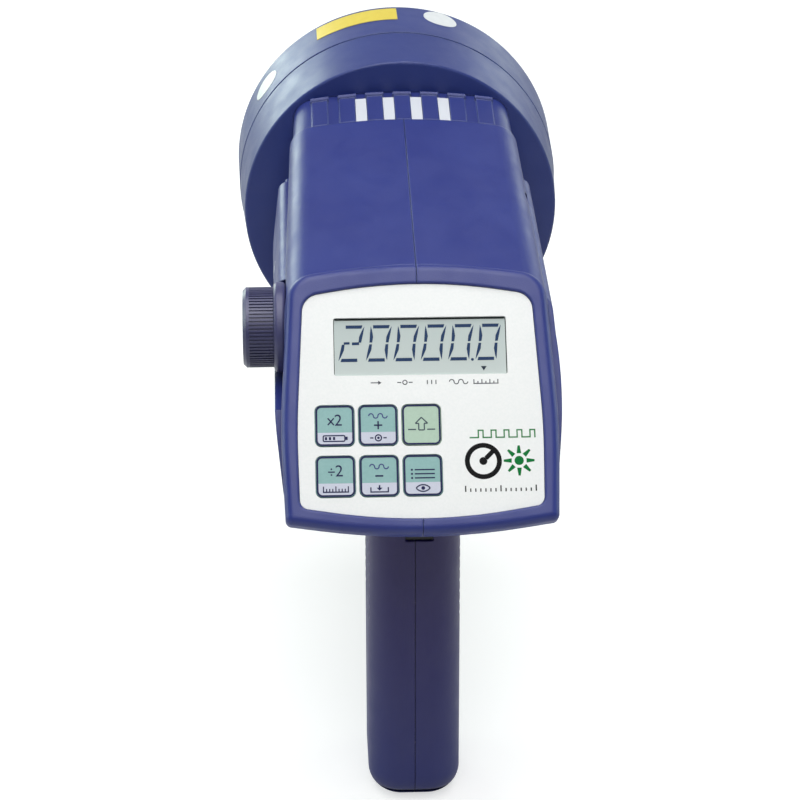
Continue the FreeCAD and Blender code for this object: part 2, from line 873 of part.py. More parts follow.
def housing_halves():
    outside = housing_outside()
    frame, opening = panel_frame()
    cavity = housing_inside()
    fittings = [piece.common(outside) for piece in inner_fittings()]
    pads = [piece.common(outside) for piece in left_pads()]
    shell = outside.cut(cavity).fuse([frame] + fittings + pads)
    tools = [opening, trigger_slot(), insert_pocket(), charge_cut(), pin_hole()]
    shell = shell.cut(tools + left_holes() + screw_tools() + grip_ribs())
    far = 4 * belly_half_width
    half_gap = seam_gap / 2
    left = shell.common(block(-far, -half_gap, -far, far, -far, 2 * far))
    right = shell.common(block(half_gap, far, -far, far, -far, 2 * far))
    return left, right


# Control panel

def panel_sheet():
    """The white sheet, with the display window and an opening for each key."""
    line = panel_outline(sheet_half_widths, sheet_heights, sheet_crown, sheet_corners)
    sheet = panel_slab(line, sheet_back_n, sheet_front_n)
    half = window_width / 2
    cut_back = sheet_back_n - overrun
    window = box_outline(window_x - half, window_x + half, window_bottom_s, window_top_s, window_corner)
    tools = [panel_slab(window, cut_back, overrun)]
    for x, s in key_places():
        tools.append(panel_slab(key_outline(x, s, -slide_gap), cut_back, overrun))
    return on_panel(sheet.cut(tools))


def key_places():
    return [(x, s) for s in key_rows_s for x in key_columns_x]


def key_outline(x, s, inset):
    half_width = key_width / 2
    half_height = key_height / 2
    outline = box_outline(x - half_width, x + half_width, s - half_height, s + half_height, key_corner)
    return offset_outline(outline, inset)


def key_bay():
    """Room behind the sheet for all the keys' skirts."""
    reach_x = key_width / 2 + key_skirt + key_bay_gap
    reach_s = key_height / 2 + key_skirt + key_bay_gap
    return box_outline(key_columns_x[0] - reach_x, key_columns_x[-1] + reach_x,
                       key_rows_s[-1] - reach_s, key_rows_s[0] + reach_s, key_corner)


def panel_plate():
    """Stiffener behind the sheet, open for the display and the keys."""
    line = panel_outline(sheet_half_widths, sheet_heights, sheet_crown, sheet_corners)
    plate = panel_slab(offset_outline(line, sheet_seat + seat_gap), plate_back_n, sheet_back_n)
    half = window_width / 2 + display_margin + seat_gap
    bay = box_outline(window_x - half, window_x + half, window_bottom_s - display_margin - seat_gap,
                      window_top_s + display_margin + seat_gap, window_corner)
    tools = [panel_slab(line, plate_back_n - overrun, sheet_back_n + overrun)
             for line in (bay, key_bay())]
    return on_panel(plate.cut(tools))


def key_cap(x, s):
    """A key: cap through the sheet, skirt behind it and a stem that presses the dome."""
    cap = panel_slab(key_outline(x, s, 0), sheet_back_n - key_skirt_thickness, sheet_front_n + key_proud)
    top = sheet_front_n + key_proud
    cap = cap.makeFillet(key_edge_round, edges_at(cap, lambda p: abs(p.z - top) < least_radius / 2))
    skirt_top = sheet_back_n - running_gap
    skirt = panel_slab(key_outline(x, s, -key_skirt), skirt_top - key_skirt_thickness, skirt_top)
    stem_foot = plate_back_n + dome_height + key_travel + key_lost_travel
    stem = rod(key_stem_radius, Vector(x, s, stem_foot), along_z, skirt_top - stem_foot)
    return on_panel(cap.fuse([skirt, stem]).removeSplitter())


def key_domes():
    """One snap dome on the board under each key."""
    sphere_radius = (dome_radius * dome_radius + dome_height * dome_height) / (2 * dome_height)
    domes = []
    for x, s in key_places():
        ball = Part.makeSphere(sphere_radius, Vector(x, s, plate_back_n + dome_height - sphere_radius))
        disc = rod(dome_radius, Vector(x, s, plate_back_n), along_z, dome_height + overrun)
        domes.append(ball.common(disc))
    return on_panel(Part.makeCompound(domes))


def display():
    half = window_width / 2 + display_margin
    outline = box_outline(window_x - half, window_x + half, window_bottom_s - display_margin,
                          window_top_s + display_margin, window_corner)
    front = sheet_back_n - display_sunk
    return on_panel(panel_slab(outline, front - display_thickness, front))


def display_contacts():
    """Two rubber strips that join the display to the board."""
    half = window_width / 2 + display_margin - window_corner
    front = sheet_back_n - display_sunk - display_thickness
    low = window_bottom_s - display_margin
    high = window_top_s + display_margin - display_contact_width
    strips = [block(window_x - half, window_x + half, s, s + display_contact_width, plate_back_n, front)
              for s in (low, high)]
    return on_panel(Part.makeCompound(strips))


def display_board():
    line = panel_outline(sheet_half_widths, sheet_heights, sheet_crown, sheet_corners)
    board = panel_slab(offset_outline(line, board_inset), board_back_n, plate_back_n)
    far = 2 * sheet_half_widths[1]
    keep = block(-far, far, panel_foot_s, far, -far, far)
    return on_panel(board.common(keep))


def standoffs():
    posts = [rod(standoff_radius, Vector(side * standoff_x, s, control_front_n), along_z, standoff_length)
             for side in (-1, 1) for s in (standoff_low_s, standoff_high_s)]
    return on_panel(Part.makeCompound(posts))


def control_board():
    outline = box_outline(-control_half_width, control_half_width, control_low_s, control_high_s, key_corner)
    board = panel_slab(outline, control_front_n - board_thickness, control_front_n)
    return on_panel(board)


def control_chip():
    half = chip_size / 2
    chip = block(-half, half, chip_s - half, chip_s + half, control_front_n, control_front_n + chip_height)
    return on_panel(chip)


# Power supply inside the body

def power_board():
    half = power_board_half_width
    end = power_board_start_y + power_board_length
    return block(-half, half, power_board_start_y, end, power_board_z, power_board_z + board_thickness)


def flash_capacitors():
    base = power_board_z + board_thickness
    start = power_board_start_y + (power_board_length - capacitor_length) / 2
    cans = []
    for side in (-1, 1):
        centre = side * capacitor_x
        can = block(centre - capacitor_width / 2, centre + capacitor_width / 2, start,
                    start + capacitor_length, base, base + capacitor_height)
        cans.append(can.makeFillet(capacitor_round, edges_at(can, lambda p: p.z > base + least_radius)))
    return Part.makeCompound(cans)


def transformer_core():
    """An E core: two side limbs, a middle limb and two yokes."""
    base = power_board_z + board_thickness
    half = transformer_width / 2
    start = power_board_start_y + bobbin_gap
    end = start + transformer_length
    outer = block(-half, half, start, end, base, base + transformer_height)
    inner = transformer_width / 2 - core_thickness
    limb = core_thickness / 2
    low = base + core_thickness
    high = base + transformer_height - core_thickness
    slots = []
    for side in (-1, 1):
        low_x, high_x = sorted((side * limb, side * inner))
        slots.append(block(low_x, high_x, start - overrun, end + overrun, low, high))
    return outer.cut(slots)


def transformer_winding():
    """The copper winding, wrapped round the middle limb and filling the core's slots."""
    base = power_board_z + board_thickness
    start = power_board_start_y + bobbin_gap
    low = base + core_thickness + bobbin_gap
    high = base + transformer_height - core_thickness - bobbin_gap
    outer_half = transformer_width / 2 - core_thickness - bobbin_gap
    limb = core_thickness / 2 + bobbin_gap
    bulge = outer_half - limb
    end = start + transformer_length
    winding = block(-outer_half, outer_half, start - bulge, end + bulge, low, high)
    hole = block(-limb, limb, start - bobbin_gap, end + bobbin_gap, low - overrun, high + overrun)
    return winding.cut(hole)


def trigger_coil():
    base = power_board_z + board_thickness
    y = power_board_start_y + power_board_length - trigger_coil_from_end
    return rod(trigger_coil_radius, Vector(0, y, base), along_z, trigger_coil_height)


# Dial

def dial():
    """Ribbed grip with a plain chamfered end, bored for the shaft."""
    start_x = dial_seat_x - skirt_gap - skirt_width
    end_x = start_x - dial_length
    points = []
    step = 360 / dial_rib_count
    for index in range(dial_rib_count):
        for share, radius in ((0, dial_radius), (dial_crest_share, dial_radius),
                              (dial_crest_share, dial_radius - dial_root_depth),
                              (1, dial_radius - dial_root_depth)):
            turn = math.radians(step * (index + share))
            spot = Vector(start_x, dial_y + radius * math.cos(turn), dial_z + radius * math.sin(turn))
            points.append(spot)
    ribbed = Part.Face(Part.makePolygon(points + points[:1]))
    ribbed = ribbed.extrude(Vector(dial_plain_end - dial_length, 0, 0))
    end = rod(dial_radius, Vector(end_x, dial_y, dial_z), along_x, dial_plain_end)
    end = end.makeChamfer(dial_end_chamfer, edges_at(end, lambda p: p.x < end_x + least_radius))
    bore = rod(shaft_radius + running_gap / 2, Vector(end_x + shaft_end_gap, dial_y, dial_z), along_x,
               dial_length)
    return ribbed.fuse(end).cut(bore)


def dial_skirt():
    start_x = dial_seat_x - skirt_gap
    disc = rod(skirt_radius, Vector(start_x - skirt_width, dial_y, dial_z), along_x, skirt_width)
    rims = [edge for edge in disc.Edges if isinstance(edge.Curve, Part.Circle)]
    disc = disc.makeFillet(skirt_round, rims)
    hollow = rod(skirt_bore, Vector(start_x - skirt_bore_depth, dial_y, dial_z), along_x, skirt_width)
    hole = rod(shaft_radius + running_gap / 2, Vector(start_x - skirt_width - overrun, dial_y, dial_z),
               along_x, skirt_width + 2 * overrun)
    return disc.cut([hollow, hole])


def dial_shaft():
    inner_x = dial_seat_x + pad_thickness + shaft_end_gap
    end_x = dial_seat_x - skirt_gap - skirt_width - dial_length + shaft_end_gap
    return rod(shaft_radius, Vector(end_x, dial_y, dial_z), along_x, inner_x - end_x)


def encoder():
    """Square sensor body inside the wall and its threaded bush through the wall."""
    inner_x = dial_seat_x + pad_thickness
    half = encoder_size / 2
    body = block(inner_x, inner_x + encoder_depth, dial_y - half, dial_y + half, dial_z - half,
                 dial_z + half)
    bush_end = dial_seat_x - skirt_gap - skirt_bore_depth + bush_end_gap
    bush = rod(bush_radius, Vector(inner_x, dial_y, dial_z), -along_x, inner_x - bush_end)
    bore_end = Vector(inner_x + shaft_end_gap + running_gap, dial_y, dial_z)
    bore = rod(shaft_radius + running_gap, bore_end, -along_x, belly_half_width)
    return body.fuse(bush).cut(bore)


def encoder_nut():
    """Hexagonal nut on the bush, inside the skirt's hollow."""
    start = Vector(dial_seat_x, dial_y, dial_z)
    radius = bush_nut_flats / math.sqrt(3)
    points = []
    for index in range(6):
        turn = 2 * math.pi * index / 6
        points.append(start + Vector(0, radius * math.cos(turn), radius * math.sin(turn)))
    nut = Part.Face(Part.makePolygon(points + points[:1])).extrude(-along_x * bush_nut_thickness)
    hole = rod(bush_radius + running_gap, start + along_x * overrun, -along_x,
               bush_nut_thickness + 2 * overrun)
    return nut.cut(hole)


# Sockets

def sync_jack(y, z):
    inner_x = jack_seat_x + pad_thickness
    half = jack_body / 2
    body = block(inner_x, inner_x + jack_body_depth, y - half, y + half, z - half, z + half)
    bush = rod(jack_bush_radius, Vector(inner_x, y, z), -along_x, jack_bush_length)
    mouth_x = inner_x - jack_bush_length
    bore = rod(jack_bore_radius, Vector(mouth_x - overrun, y, z), along_x, jack_bore_depth + overrun)
    return body.fuse(bush).cut(bore)


def sync_jack_nut(y, z):
    start = Vector(jack_seat_x - jack_nut_thickness, y, z)
    return ring(jack_nut_radius, jack_bush_radius + running_gap, start, along_x, jack_nut_thickness)


def charge_socket():
    half = charge_width / 2
    front_y = grip_back(charge_low_z) + charge_sunk
    centre_z = charge_low_z + charge_height / 2
    body = block(charge_x - half, charge_x + half, front_y, front_y + charge_depth, charge_low_z,
                 charge_low_z + charge_height)
    bore = rod(charge_bore_radius, Vector(charge_x, front_y - overrun, centre_z), along_y,
               charge_bore_depth + overrun)
    return body.cut(bore)


# Trigger

def trigger():
    """Finger lever hung on a pin through its top."""
    edges = trigger_profile(0)
    half = trigger_half_width
    plate = Part.Face(Part.Wire(edges)).extrude(Vector(half, 0, 0))
    plate = plate.fuse(Part.Face(Part.Wire(edges)).extrude(Vector(-half, 0, 0)))
    pivot = Vector(-half, trigger_pivot_y, trigger_pivot_z)
    boss = rod(trigger_boss_radius, pivot, along_x, 2 * half)
    hole = rod(trigger_pin_radius + running_gap, pivot - along_x * overrun, along_x, 2 * (half + overrun))
    return plate.fuse(boss).removeSplitter().cut(hole)


def trigger_pin():
    start = Vector(-trigger_pin_half_length, trigger_pivot_y, trigger_pivot_z)
    return rod(trigger_pin_radius, start, along_x, 2 * trigger_pin_half_length)


def trigger_switch():
    half = switch_half_thickness
    front = switch_front_y()
    low = grip_height - switch_low_drop
    body = block(-half, half, front - switch_depth, front, low, low + switch_height)
    body = body.makeFillet(switch_round, edges_at(body, lambda p: p.y > front - least_radius))
    depth = plunger_root + trigger_travel_at_plunger() + plunger_gap
    hole = rod(plunger_radius + running_gap, Vector(0, front - depth, plunger_z), along_y, depth + overrun)
    return body.cut(hole)


def trigger_travel_at_plunger():
    """How far the trigger's back comes in at the plunger over its full pull."""
    return (trigger_pivot_z - plunger_z) * math.sin(math.radians(trigger_pull_deg))


def switch_plunger():
    front = switch_front_y()
    return rod(plunger_radius, Vector(0, front - plunger_root, plunger_z), along_y,
               plunger_root + plunger_reach)


def trigger_lock():
    """Push pin in the left side of the grip, with a collar that keeps it in."""
    outer_x = -grip_width / 2 - lock_proud
    pin = rod(lock_radius, Vector(outer_x, lock_y, lock_z), along_x, lock_length)
    pin = pin.makeFillet(lock_round, edges_at(pin, lambda p: p.x < outer_x + least_radius))
    collar_x = -grip_width / 2 + grip_wall + lock_collar_gap
    collar = rod(lock_collar_radius, Vector(collar_x, lock_y, lock_z), along_x, lock_collar_width)
    return pin.fuse(collar)


# Battery

def cell_places():
    """x, shift across the grip and height along it of each cell."""
    half = cell_pitch / 2
    pair = (-half, half)
    lower = [(x, y, cell_start) for x in pair for y in pair]
    upper = [(x, upper_cell_shift, cell_start + cell_length + cell_cap_height + 2 * cell_link_thickness)
             for x in pair]
    return lower + upper


def battery_cells():
    cells = []
    for x, y, z in cell_places():
        can = rod(cell_radius, Vector(x, y, z), along_z, cell_length)
        can = can.makeFillet(cell_round, [edge for edge in can.Edges if isinstance(edge.Curve, Part.Circle)])
        cap = rod(cell_cap_radius, Vector(x, y, z + cell_length), along_z, cell_cap_height)
        cells.append(can.fuse(cap))
    group = Part.makeCompound(cells)
    group.Placement = grip_place
    return group


def cell_links():
    """Nickel strips across the ends of neighbouring cells."""
    half = cell_pitch / 2
    reach = half + cell_cap_radius
    top_z = cell_start + cell_length + cell_cap_height
    low_z = cell_start - cell_link_thickness
    links = []
    upper_z = top_z + 2 * cell_link_thickness + cell_length + cell_cap_height
    places = [(y, z) for y in (-half, half) for z in (low_z, top_z)] + [(upper_cell_shift, upper_z)]
    for y, z in places:
        links.append(block(-reach, reach, y - cell_link_width / 2, y + cell_link_width / 2,
                           z, z + cell_link_thickness))
    group = Part.makeCompound(links)
    group.Placement = grip_place
    return group


def tripod_insert():
    body = rod(insert_radius, Vector(0, 0, 0), along_z, insert_length)
    flange = rod(insert_flange_radius, Vector(0, 0, insert_flange_low), along_z,
                 insert_flange_high - insert_flange_low)
    bore = rod(insert_bore_radius, Vector(0, 0, -overrun), along_z, insert_bore_depth + overrun)
    return body.fuse(flange).cut(bore)


def screw(start, direction, length, head_radius, head_height, shank_radius):
    """A round-headed screw: start is the head's seat, direction points along the shank."""
    shank = rod(shank_radius, start, direction, length)
    head = rod(head_radius, start - direction * head_height, direction, head_height)
    top = start - direction * head_height
    rim = [edge for edge in head.Edges if isinstance(edge.Curve, Part.Circle)
           and abs((edge.Curve.Center - top).dot(direction)) < least_radius]
    head = head.makeFillet(screw_head_round, rim)
    cross = []
    for turn in (0, 90):
        reach = head_radius * screw_slot_share
        bar = block(-reach, reach, -screw_slot_width / 2, screw_slot_width / 2,
                    -screw_slot_depth, screw_slot_depth)
        bar.Placement = Placement(top, Rotation(along_z, direction)).multiply(
            Placement(Vector(0, 0, 0), Rotation(along_z, turn)))
        cross.append(bar)
    return shank.fuse(head).cut(cross)


def housing_screws():
    screws = []
    for y, z, side in screw_places():
        seat = side - screw_sunk
        screws.append(screw(Vector(seat, y, z), -along_x, seat + screw_bite, screw_head_radius,
                            screw_head_height, screw_shank_radius))
    return Part.makeCompound(screws)


# Collar and lamp head

def head_collar():
    """Short collar that carries the lamp head, with a row of raised tabs along its top."""
    start = body_front_y + collar_gap
    end = head_back_y + head_wall
    tube = run_of(collar_outline, start, end, collar_inset)
    spigot_inset = body_wall + slide_gap
    spigot = run_of(collar_outline, start - collar_spigot, start, spigot_inset)
    flange_end = end + collar_flange_thickness
    flange = run_of(collar_outline, end, flange_end, collar_inset - collar_flange_growth)
    dish = rod(head_back_radius - head_wall - seat_gap, Vector(0, end, head_axis_z), along_y,
               collar_flange_thickness)
    bore = run_of(collar_outline, start - collar_spigot - overrun, flange_end + overrun,
                  spigot_inset + collar_wall)
    tab_stock = run_of(collar_outline, body_front_y + tab_start_gap, head_back_y - tab_end_gap, tab_inset)
    high = roof_top(head_back_y) + overrun
    tabs = []
    for x in tab_places():
        tabs.append(tab_stock.common(block(x - tab_width / 2, x + tab_width / 2, body_front_y,
                                           head_back_y, head_axis_z, high)))
    collar = tube.fuse([spigot, flange.common(dish)] + tabs + tab_lips()).cut(bore)
    return collar.cut(window_tools(0) + head_screw_holes())


def tab_places():
    return [(index - (tab_count - 1) / 2) * tab_pitch for index in range(tab_count)]


def tab_lips():
    """The upright lip with bevelled edges at the far end of each tab."""
    end = head_back_y - tab_end_gap
    start = end - lip_thickness
    wires = []
    for y, drop in ((start, lip_bevel), (start + lip_bevel, 0), (end - lip_bevel, 0), (end, lip_bevel)):
        outline = offset_outline(collar_outline(y), tab_inset - lip_rise + drop)
        wires.append(outline_wire(outline, lambda u, v, y=y: Vector(u, y, v)))
    stock = loft(wires)
    foot = roof_top(end) - roof_crown - overrun
    high = roof_top(end) + lip_rise + overrun
    lips = []
    for x in tab_places():
        lips.append(stock.common(block(x - lip_width / 2, x + lip_width / 2, start, end, foot, high)))
    return lips


def window_tools(inset):
    """The four openings between the middle tabs, drawn in by inset."""
    start = body_front_y + tab_start_gap + collar_gap + inset
    end = start + window_run - 2 * inset
    half = (tab_pitch - tab_width) / 2 - inset
    high = roof_top(head_back_y) + overrun
    tools = []
    for index in range(window_count):
        x = (index - (window_count - 1) / 2) * tab_pitch
        tools.append(block(x - half, x + half, start, end, head_axis_z, high))
    return tools


def lamp_carrier():
    """White holder for the lamp: a tube inside the collar whose lugs show in the windows."""
    start = body_front_y - collar_spigot + carrier_back_gap
    end = head_back_y + carrier_front
    inset = body_wall + slide_gap + collar_wall + carrier_gap
    tube = run_of(collar_outline, start, end, inset)
    bore = run_of(collar_outline, start - overrun, end - carrier_plate, inset + carrier_wall)
    stock = run_of(collar_outline, body_front_y, head_back_y, lug_inset)
    lug_foot = roof_top(body_front_y) - inset - roof_crown - overrun
    below = block(-roof_half_width, roof_half_width, start, end, floor_front_z, lug_foot)
    lugs = [stock.common(tool).cut(below) for tool in window_tools(seat_gap)]
    hole = rod(reflector_hole + seat_gap, Vector(0, end - carrier_plate - overrun, head_axis_z), along_y,
               carrier_plate + 2 * overrun)
    return tube.fuse(lugs).cut([bore, hole])


def head_shell():
    """Blue dish behind the reflector, with a spigot that carries the front ring."""
    inner_back = head_back_radius - head_wall
    spigot_outer = bezel_bore_radius - seat_gap
    spigot_inner = spigot_outer - spigot_wall
    points = [(0, head_back_y), (head_back_radius, head_back_y), (head_mid_radius, head_mid_y),
              (spigot_outer, head_mid_y), (spigot_outer, rim_back_y - seat_gap),
              (spigot_inner, rim_back_y - seat_gap), (spigot_inner, head_mid_y - head_wall),
              (inner_back, head_back_y + head_wall), (0, head_back_y + head_wall)]
    shell = revolve_about_beam(points)
    rim = [edge for edge in shell.Edges if isinstance(edge.Curve, Part.Circle)
           and abs(edge.Curve.Center.y - head_back_y) < least_radius
           and abs(edge.Curve.Radius - head_back_radius) < least_radius]
    shell = shell.makeFillet(head_edge_round, rim)
    opening = run_of(collar_outline, head_back_y - overrun, head_back_y + head_wall + overrun,
                     collar_inset - seat_gap)
    return shell.cut([opening] + head_screw_holes())


def head_screw_holes():
    """Holes through the collar's flange and into the head's rear wall."""
    depth = head_screw_length + seat_gap
    return [rod(head_screw_radius + running_gap, place - along_y * depth, along_y, depth + overrun)
            for place in head_screw_places()]


def head_screw_places():
    """Seats of the screws that hold the collar's flange to the head, at its four sides."""
    y = head_back_y + head_wall + collar_flange_thickness
    return [Vector(side * head_screw_x, y, head_axis_z + lift) for side in (-1, 1)
            for lift in (-head_screw_rise, head_screw_rise)]


def front_ring():
    """Blue ring round the lens, with a lip that holds it in."""
    lip_y = head_front_y - bezel_lip_length
    points = [(bezel_bore_radius, bezel_back_y), (bezel_back_radius, bezel_back_y),
              (head_front_radius, head_front_y), (bezel_lip_radius, head_front_y), (bezel_lip_radius, lip_y),
              (bezel_bore_radius, lip_y)]
    ring_solid = revolve_about_beam(points)
    rims = [edge for edge in ring_solid.Edges if isinstance(edge.Curve, Part.Circle)
            and abs(edge.Curve.Center.y - head_front_y) < least_radius]
    return ring_solid.makeFillet(bezel_round, rims)


def lens():
    radius = bezel_bore_radius - seat_gap
    flat_front = lens_back_y + lens_thickness
    inner = bezel_lip_radius - gasket_width
    points = [(0, lens_back_y), (radius, lens_back_y), (radius, flat_front), (inner, flat_front)]
    edge_spots = [Vector(r, y, head_axis_z) for r, y in points]
    crest = Vector(0, flat_front + lens_dome, head_axis_z)
    dome_radius_value = (inner * inner + lens_dome * lens_dome) / (2 * lens_dome)
    half = math.asin(inner / dome_radius_value) / 2
    middle = Vector(dome_radius_value * math.sin(half),
                    crest.y - dome_radius_value * (1 - math.cos(half)), head_axis_z)
    edges = [Part.makeLine(edge_spots[i], edge_spots[i + 1]) for i in range(len(edge_spots) - 1)]
    edges.append(Part.Arc(edge_spots[-1], middle, crest).toShape())
    edges.append(Part.makeLine(crest, edge_spots[0]))
    return Part.Face(Part.Wire(edges)).revolve(Vector(0, 0, head_axis_z), along_y, 360)


def lens_gasket():
    outer = bezel_bore_radius - seat_gap
    start = Vector(0, lens_back_y + lens_thickness, head_axis_z)
    return ring(outer, outer - gasket_width, start, along_y, gasket_thickness)


def reflector():
    """Parabolic bowl with a rim behind the lens and a neck round the lamp socket."""
    focal = reflector_radius * reflector_radius / (4 * reflector_depth)
    neck_inner = reflector_hole - reflector_wall
    front = []
    back = []
    for index in range(reflector_steps + 1):
        radius = neck_inner + (reflector_radius - neck_inner) * index / reflector_steps
        slope = math.atan(radius / (2 * focal))
        spot = Vector(radius, reflector_vertex_y + radius * radius / (4 * focal), head_axis_z)
        front.append(spot)
        back.append(spot + Vector(math.sin(slope), -math.cos(slope), 0) * reflector_wall)
    back[0] = front[0] - along_y * reflector_wall
    rim_radius = bezel_bore_radius - seat_gap
    rim_front_y = rim_back_y + reflector_rim_thickness
    rim = [(reflector_radius, rim_front_y), (rim_radius, rim_front_y), (rim_radius, rim_back_y),
           (back[-1].x, rim_back_y)]
    corners = [front[-1]] + [Vector(radius, y, head_axis_z) for radius, y in rim] + [back[-1]]
    curves = []
    for spots in (front, back):
        curve = Part.BSplineCurve()
        curve.interpolate(spots)
        curves.append(curve.toShape())
    edges = [curves[0]] + [Part.makeLine(a, b) for a, b in zip(corners, corners[1:])] + [curves[1]]
    edges.append(Part.makeLine(back[0], front[0]))
    outline = Part.Wire(Part.__sortEdges__(edges))
    bowl = Part.Face(outline).revolve(Vector(0, 0, head_axis_z), along_y, 360)
    neck_back_y = reflector_vertex_y - reflector_neck_length
    neck_start = Vector(0, neck_back_y, head_axis_z)
    neck_end_y = front[0].y - reflector_wall / 2
    return bowl.fuse(ring(reflector_hole, neck_inner, neck_start, along_y, neck_end_y - neck_back_y))


def lamp_seat_y():
    """Front face of the lamp's socket."""
    return reflector_vertex_y


def lamp_socket():
    radius = reflector_hole - reflector_wall - seat_gap
    front = lamp_seat_y()
    body = rod(radius, Vector(0, front - socket_length, head_axis_z), along_y, socket_length)
    depth = pin_length + running_gap
    holes = [rod(pin_radius + running_gap, place - along_y * depth, along_y, 2 * depth)
             for place in pin_places()]
    return body.cut(holes)


def pin_places():
    places = []
    for index in range(pin_count):
        turn = 2 * math.pi * index / pin_count
        lift = pin_circle * math.sin(turn)
        places.append(Vector(pin_circle * math.cos(turn), lamp_seat_y(), head_axis_z + lift))
    return places


def lamp_pins():
    return Part.makeCompound([rod(pin_radius, place - along_y * pin_length, along_y, pin_length)
                              for place in pin_places()])


def lamp_base():
    start = Vector(0, lamp_seat_y(), head_axis_z)
    base = rod(base_radius, start, along_y, base_thickness)
    groove = ring(envelope_radius + running_gap, envelope_radius - envelope_wall - running_gap,
                  start + along_y * (base_thickness - base_lap), along_y, base_lap + overrun)
    floor_y = start.y + base_thickness - base_lap
    sockets = [rod(tube_radius + running_gap, Vector(side * tube_bend_radius, floor_y, head_axis_z),
                   along_y, base_lap + overrun) for side in (-1, 1)]
    return base.cut([groove] + sockets)


def dome_tube(radius, start_y, straight):
    """A cylinder along the beam closed by half a sphere."""
    start = Vector(0, start_y, head_axis_z)
    return rod(radius, start, along_y, straight).fuse(Part.makeSphere(radius, start + along_y * straight))


def lamp_envelope():
    start = lamp_seat_y() + base_thickness - base_lap + running_gap
    outer = dome_tube(envelope_radius, start, envelope_straight)
    outer = outer.common(block(-envelope_radius, envelope_radius, start, head_front_y,
                               head_axis_z - envelope_radius, head_axis_z + envelope_radius))
    inner = dome_tube(envelope_radius - envelope_wall, start - overrun, envelope_straight + overrun)
    return outer.cut(inner)


def bent_tube(radius, start_y, leg):
    """A U of round section: two legs along the beam joined by a half ring."""
    bend_y = start_y + leg
    bend = Part.makeTorus(tube_bend_radius, radius, Vector(0, bend_y, head_axis_z), along_z)
    reach = tube_bend_radius + radius
    bend = bend.common(block(-reach - overrun, reach + overrun, bend_y, bend_y + 2 * reach,
                             head_axis_z - 2 * radius, head_axis_z + 2 * radius))
    legs = [rod(radius, Vector(side * tube_bend_radius, start_y, head_axis_z), along_y, leg)
            for side in (-1, 1)]
    return bend.fuse(legs)


def flash_tube():
    start = lamp_seat_y() + base_thickness - base_lap + running_gap
    outer = bent_tube(tube_radius, start, tube_leg)
    inner = bent_tube(tube_radius - tube_wall, start + tube_wall, tube_leg - tube_wall)
    return outer.cut(inner)


def electrodes():
    start = lamp_seat_y() + base_thickness - base_lap + running_gap + tube_wall
    rods = [rod(electrode_radius, Vector(side * tube_bend_radius, start, head_axis_z), along_y,
                electrode_length) for side in (-1, 1)]
    return Part.makeCompound(rods)


def head_screws():
    screws = [screw(place, -along_y, head_screw_length, head_screw_head_radius, head_screw_head_height,
                    head_screw_radius) for place in head_screw_places()]
    return Part.makeCompound(screws)


def ring_radius(y):
    share = (y - bezel_back_y) / bezel_length
    return bezel_back_radius + (head_front_radius - bezel_back_radius) * share


def ring_skin(lift):
    """The front ring's outer cone, lifted outwards."""
    points = [(0, bezel_back_y), (bezel_back_radius + lift, bezel_back_y),
              (head_front_radius + lift, head_front_y), (0, head_front_y)]
    return revolve_about_beam(points)


def on_ring(outline, turn_deg):
    """A thin label of the given outline wrapped on the front ring, turned round the beam."""
    middle_y = (bezel_back_y + head_front_y) / 2
    wire = outline_wire(outline, lambda u, v: Vector(u, middle_y + v, 0))
    stamp = Part.Face(wire).extrude(Vector(0, 0, 2 * head_front_radius))
    skin = ring_skin(sticker_thickness)
    skin.translate(Vector(0, 0, -head_axis_z))
    core = ring_skin(0)
    core.translate(Vector(0, 0, -head_axis_z))
    label = stamp.common(skin).cut(core)
    label.Placement = Placement(Vector(0, 0, head_axis_z), Rotation(along_y, 90 - turn_deg))
    return label


def yellow_sticker():
    span = math.radians(yellow_end_deg - yellow_start_deg)
    half = 2 * ring_radius(head_front_y) * math.sin(span / 2) / 2
    back = bezel_length * (yellow_back_share - 1 / 2)
    front = bezel_length * (yellow_front_share - 1 / 2)
    outline = box_outline(-half, half, back, front, least_radius)
    return on_ring(outline, (yellow_start_deg + yellow_end_deg) / 2)


def white_stickers():
    """Two round labels."""
    half = white_size / 2
    labels = []
    for turn_deg, share in white_places:
        middle = bezel_length * (share - 1 / 2)
        outline = box_outline(-half, half, middle - half, middle + half, half - least_radius)
        labels.append(on_ring(outline, turn_deg))
    return Part.makeCompound(labels)


def save(name, shape):
    solids = shape.Solids
    volume = sum(solid.Volume for solid in solids)
    print(name, len(solids), round(volume, 1), "valid" if shape.isValid() else "NOT VALID")
    group = solids[0] if len(solids) == 1 else Part.makeCompound(solids)
    group.exportStep("parts/" + name + ".step")


